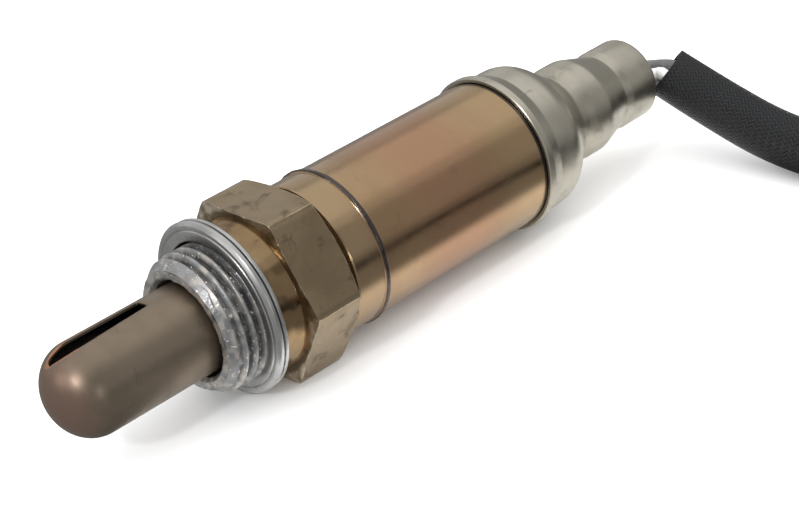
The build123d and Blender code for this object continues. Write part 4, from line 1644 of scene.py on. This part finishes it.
@dataclass
class FramePieces:
    """CAD pieces that are shown as they are: the inside, the grommet, the tie and the plug."""

    slots: dict[str, Slot] = field(default_factory=lambda: {
        "sensing_thimble": Slot.CERAMIC, "thimble_washer": Slot.SPRING,
        "packing_powder": Slot.POWDER, "packing_bush": Slot.CERAMIC, "crimp_ring": Slot.SPRING,
        "heater_rod": Slot.HEATER, "signal_contact": Slot.SPRING, "contact_holder": Slot.CERAMIC,
        "holder_spring": Slot.SPRING, "heater_terminals": Slot.TERMINAL,
        "signal_terminals": Slot.TERMINAL, "wire_grommet": Slot.GROMMET,
        "coil_tie": Slot.TIE, "end_sleeve": Slot.SHRINK, "plug_wires": Slot.WIRE_WHITE,
        "plug_housing": Slot.PLUG, "plug_lock": Slot.LOCK, "plug_nose_seal": Slot.SEAL,
        "plug_rear_seal": Slot.SEAL, "plug_terminals": Slot.TERMINAL})

    def build(self) -> list[Object]:
        """Give each CAD piece its finish.

        Returns:
            The pieces.
        """
        made = []
        for name, slot in self.slots.items():
            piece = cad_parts[name]
            piece.data.materials.clear()
            piece.data.materials.append(FINISHES[slot].material())
            LOG.info("%s: CAD piece", name)
            made.append(piece)
        return made


# ------------------------------------------------------------------ studio
@dataclass(frozen=True)
class Panel:
    """Soft rectangular light. Its place, its aim and its size are in metres, its power in watts."""

    name: str
    place: Triple
    aim: Triple
    size: Pair
    power: float
    tone: Triple = (1.0, 1.0, 1.0)

    def build(self) -> Object:
        """Add the light.

        Returns:
            The lamp.
        """
        data = bpy.data.lights.new(self.name, "AREA")
        data.shape, data.size, data.size_y = "RECTANGLE", *self.size
        data.energy, data.color = self.power, self.tone
        lamp = bpy.data.objects.new(self.name, data)
        lamp.location = self.place
        ray = Vector(self.aim) - Vector(self.place)
        lamp.rotation_euler = ray.to_track_quat("-Z", "Y").to_euler()
        bpy.context.scene.collection.objects.link(lamp)
        return lamp


@dataclass
class Studio:
    """Pale surface, soft panels and a surround that is white to the eye but dim in the metal."""

    surround: float = 1.5
    mirrored: float = 0.3
    surface_size: float = 3000.0
    surface_gap: float = 0.002
    panels: tuple[Panel, ...] = (
        Panel("ceiling", (0.35, 0.1, 1.0), (0.35, 0.1, 0.0), (2.4, 1.9), 5.7),
        Panel("overhead", (0.25, 0.15, 0.9), (0.25, 0.15, 0.0), (2.0, 1.2), 1.9),
        Panel("back", (0.3, 1.35, 0.65), (0.3, 0.0, 0.65), (2.6, 1.1), 3.6),
        Panel("front", (0.9, -1.15, 0.58), (0.2, -0.2, 0.3), (2.4, 1.0), 1.2),
        Panel("left", (-0.7, 0.3, 0.36), (0.0, 0.0, 0.0), (0.35, 0.3), 0.5, (1.0, 0.97, 0.93)),
        Panel("glint", (-0.627, -0.197, 0.49), (-0.022, -0.003, 0.004), (0.06, 0.06), 1.7),
        Panel("spark", (-0.172, -0.78, 0.143), (-0.02, -0.005, 0.002), (0.035, 0.035), 0.3))

    def surface(self) -> Object:
        """Make the surface that the sensor lies on.

        Returns:
            The surface.
        """
        mesh = bmesh.new()
        bmesh.ops.create_grid(mesh, x_segments=2, y_segments=2, size=self.surface_size)
        bmesh.ops.translate(mesh, vec=(0, 0, FLOOR_Z - self.surface_gap), verts=mesh.verts)
        ground = finish_mesh(mesh, "surface")
        ground.data.materials.append(Surface("surface").material())
        return ground

    def light_world(self) -> None:
        """Make the surround, with its own level for what the metal mirrors."""
        world = bpy.data.worlds.new("surround")
        world.use_nodes = True
        world.node_tree.nodes.clear()
        tree = Tree(world.node_tree)
        glossy = tree.add("LightPath").outputs["Is Glossy Ray"]
        shine = tree.times(glossy, self.surround - self.mirrored)
        level = tree.minus(self.surround, shine)
        back = tree.add("Background", {"Color": (1.0, 1.0, 1.0), "Strength": level})
        tree.add("OutputWorld", {"Surface": back.outputs[0]})
        bpy.context.scene.world = world

    def build(self) -> None:
        """Make the surface, the lights and the surround."""
        self.surface()
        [panel.build() for panel in self.panels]
        self.light_world()
        bpy.context.scene.view_settings.view_transform = "Standard"


def main() -> None:
    """Build the whole scene and note its size."""
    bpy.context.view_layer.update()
    CameraView().build()
    assemblies = (Lead(), SensorWires(), ProtectionTube(), ThreadedShell(), SealRing(), Sleeve(),
                  RearCap(), FramePieces())
    for assembly in assemblies:
        pieces = assembly.build()
        LOG.info("%s: %d pieces", type(assembly).__name__, len(pieces))
    Studio().build()


if __name__ == "__main__":
    main()
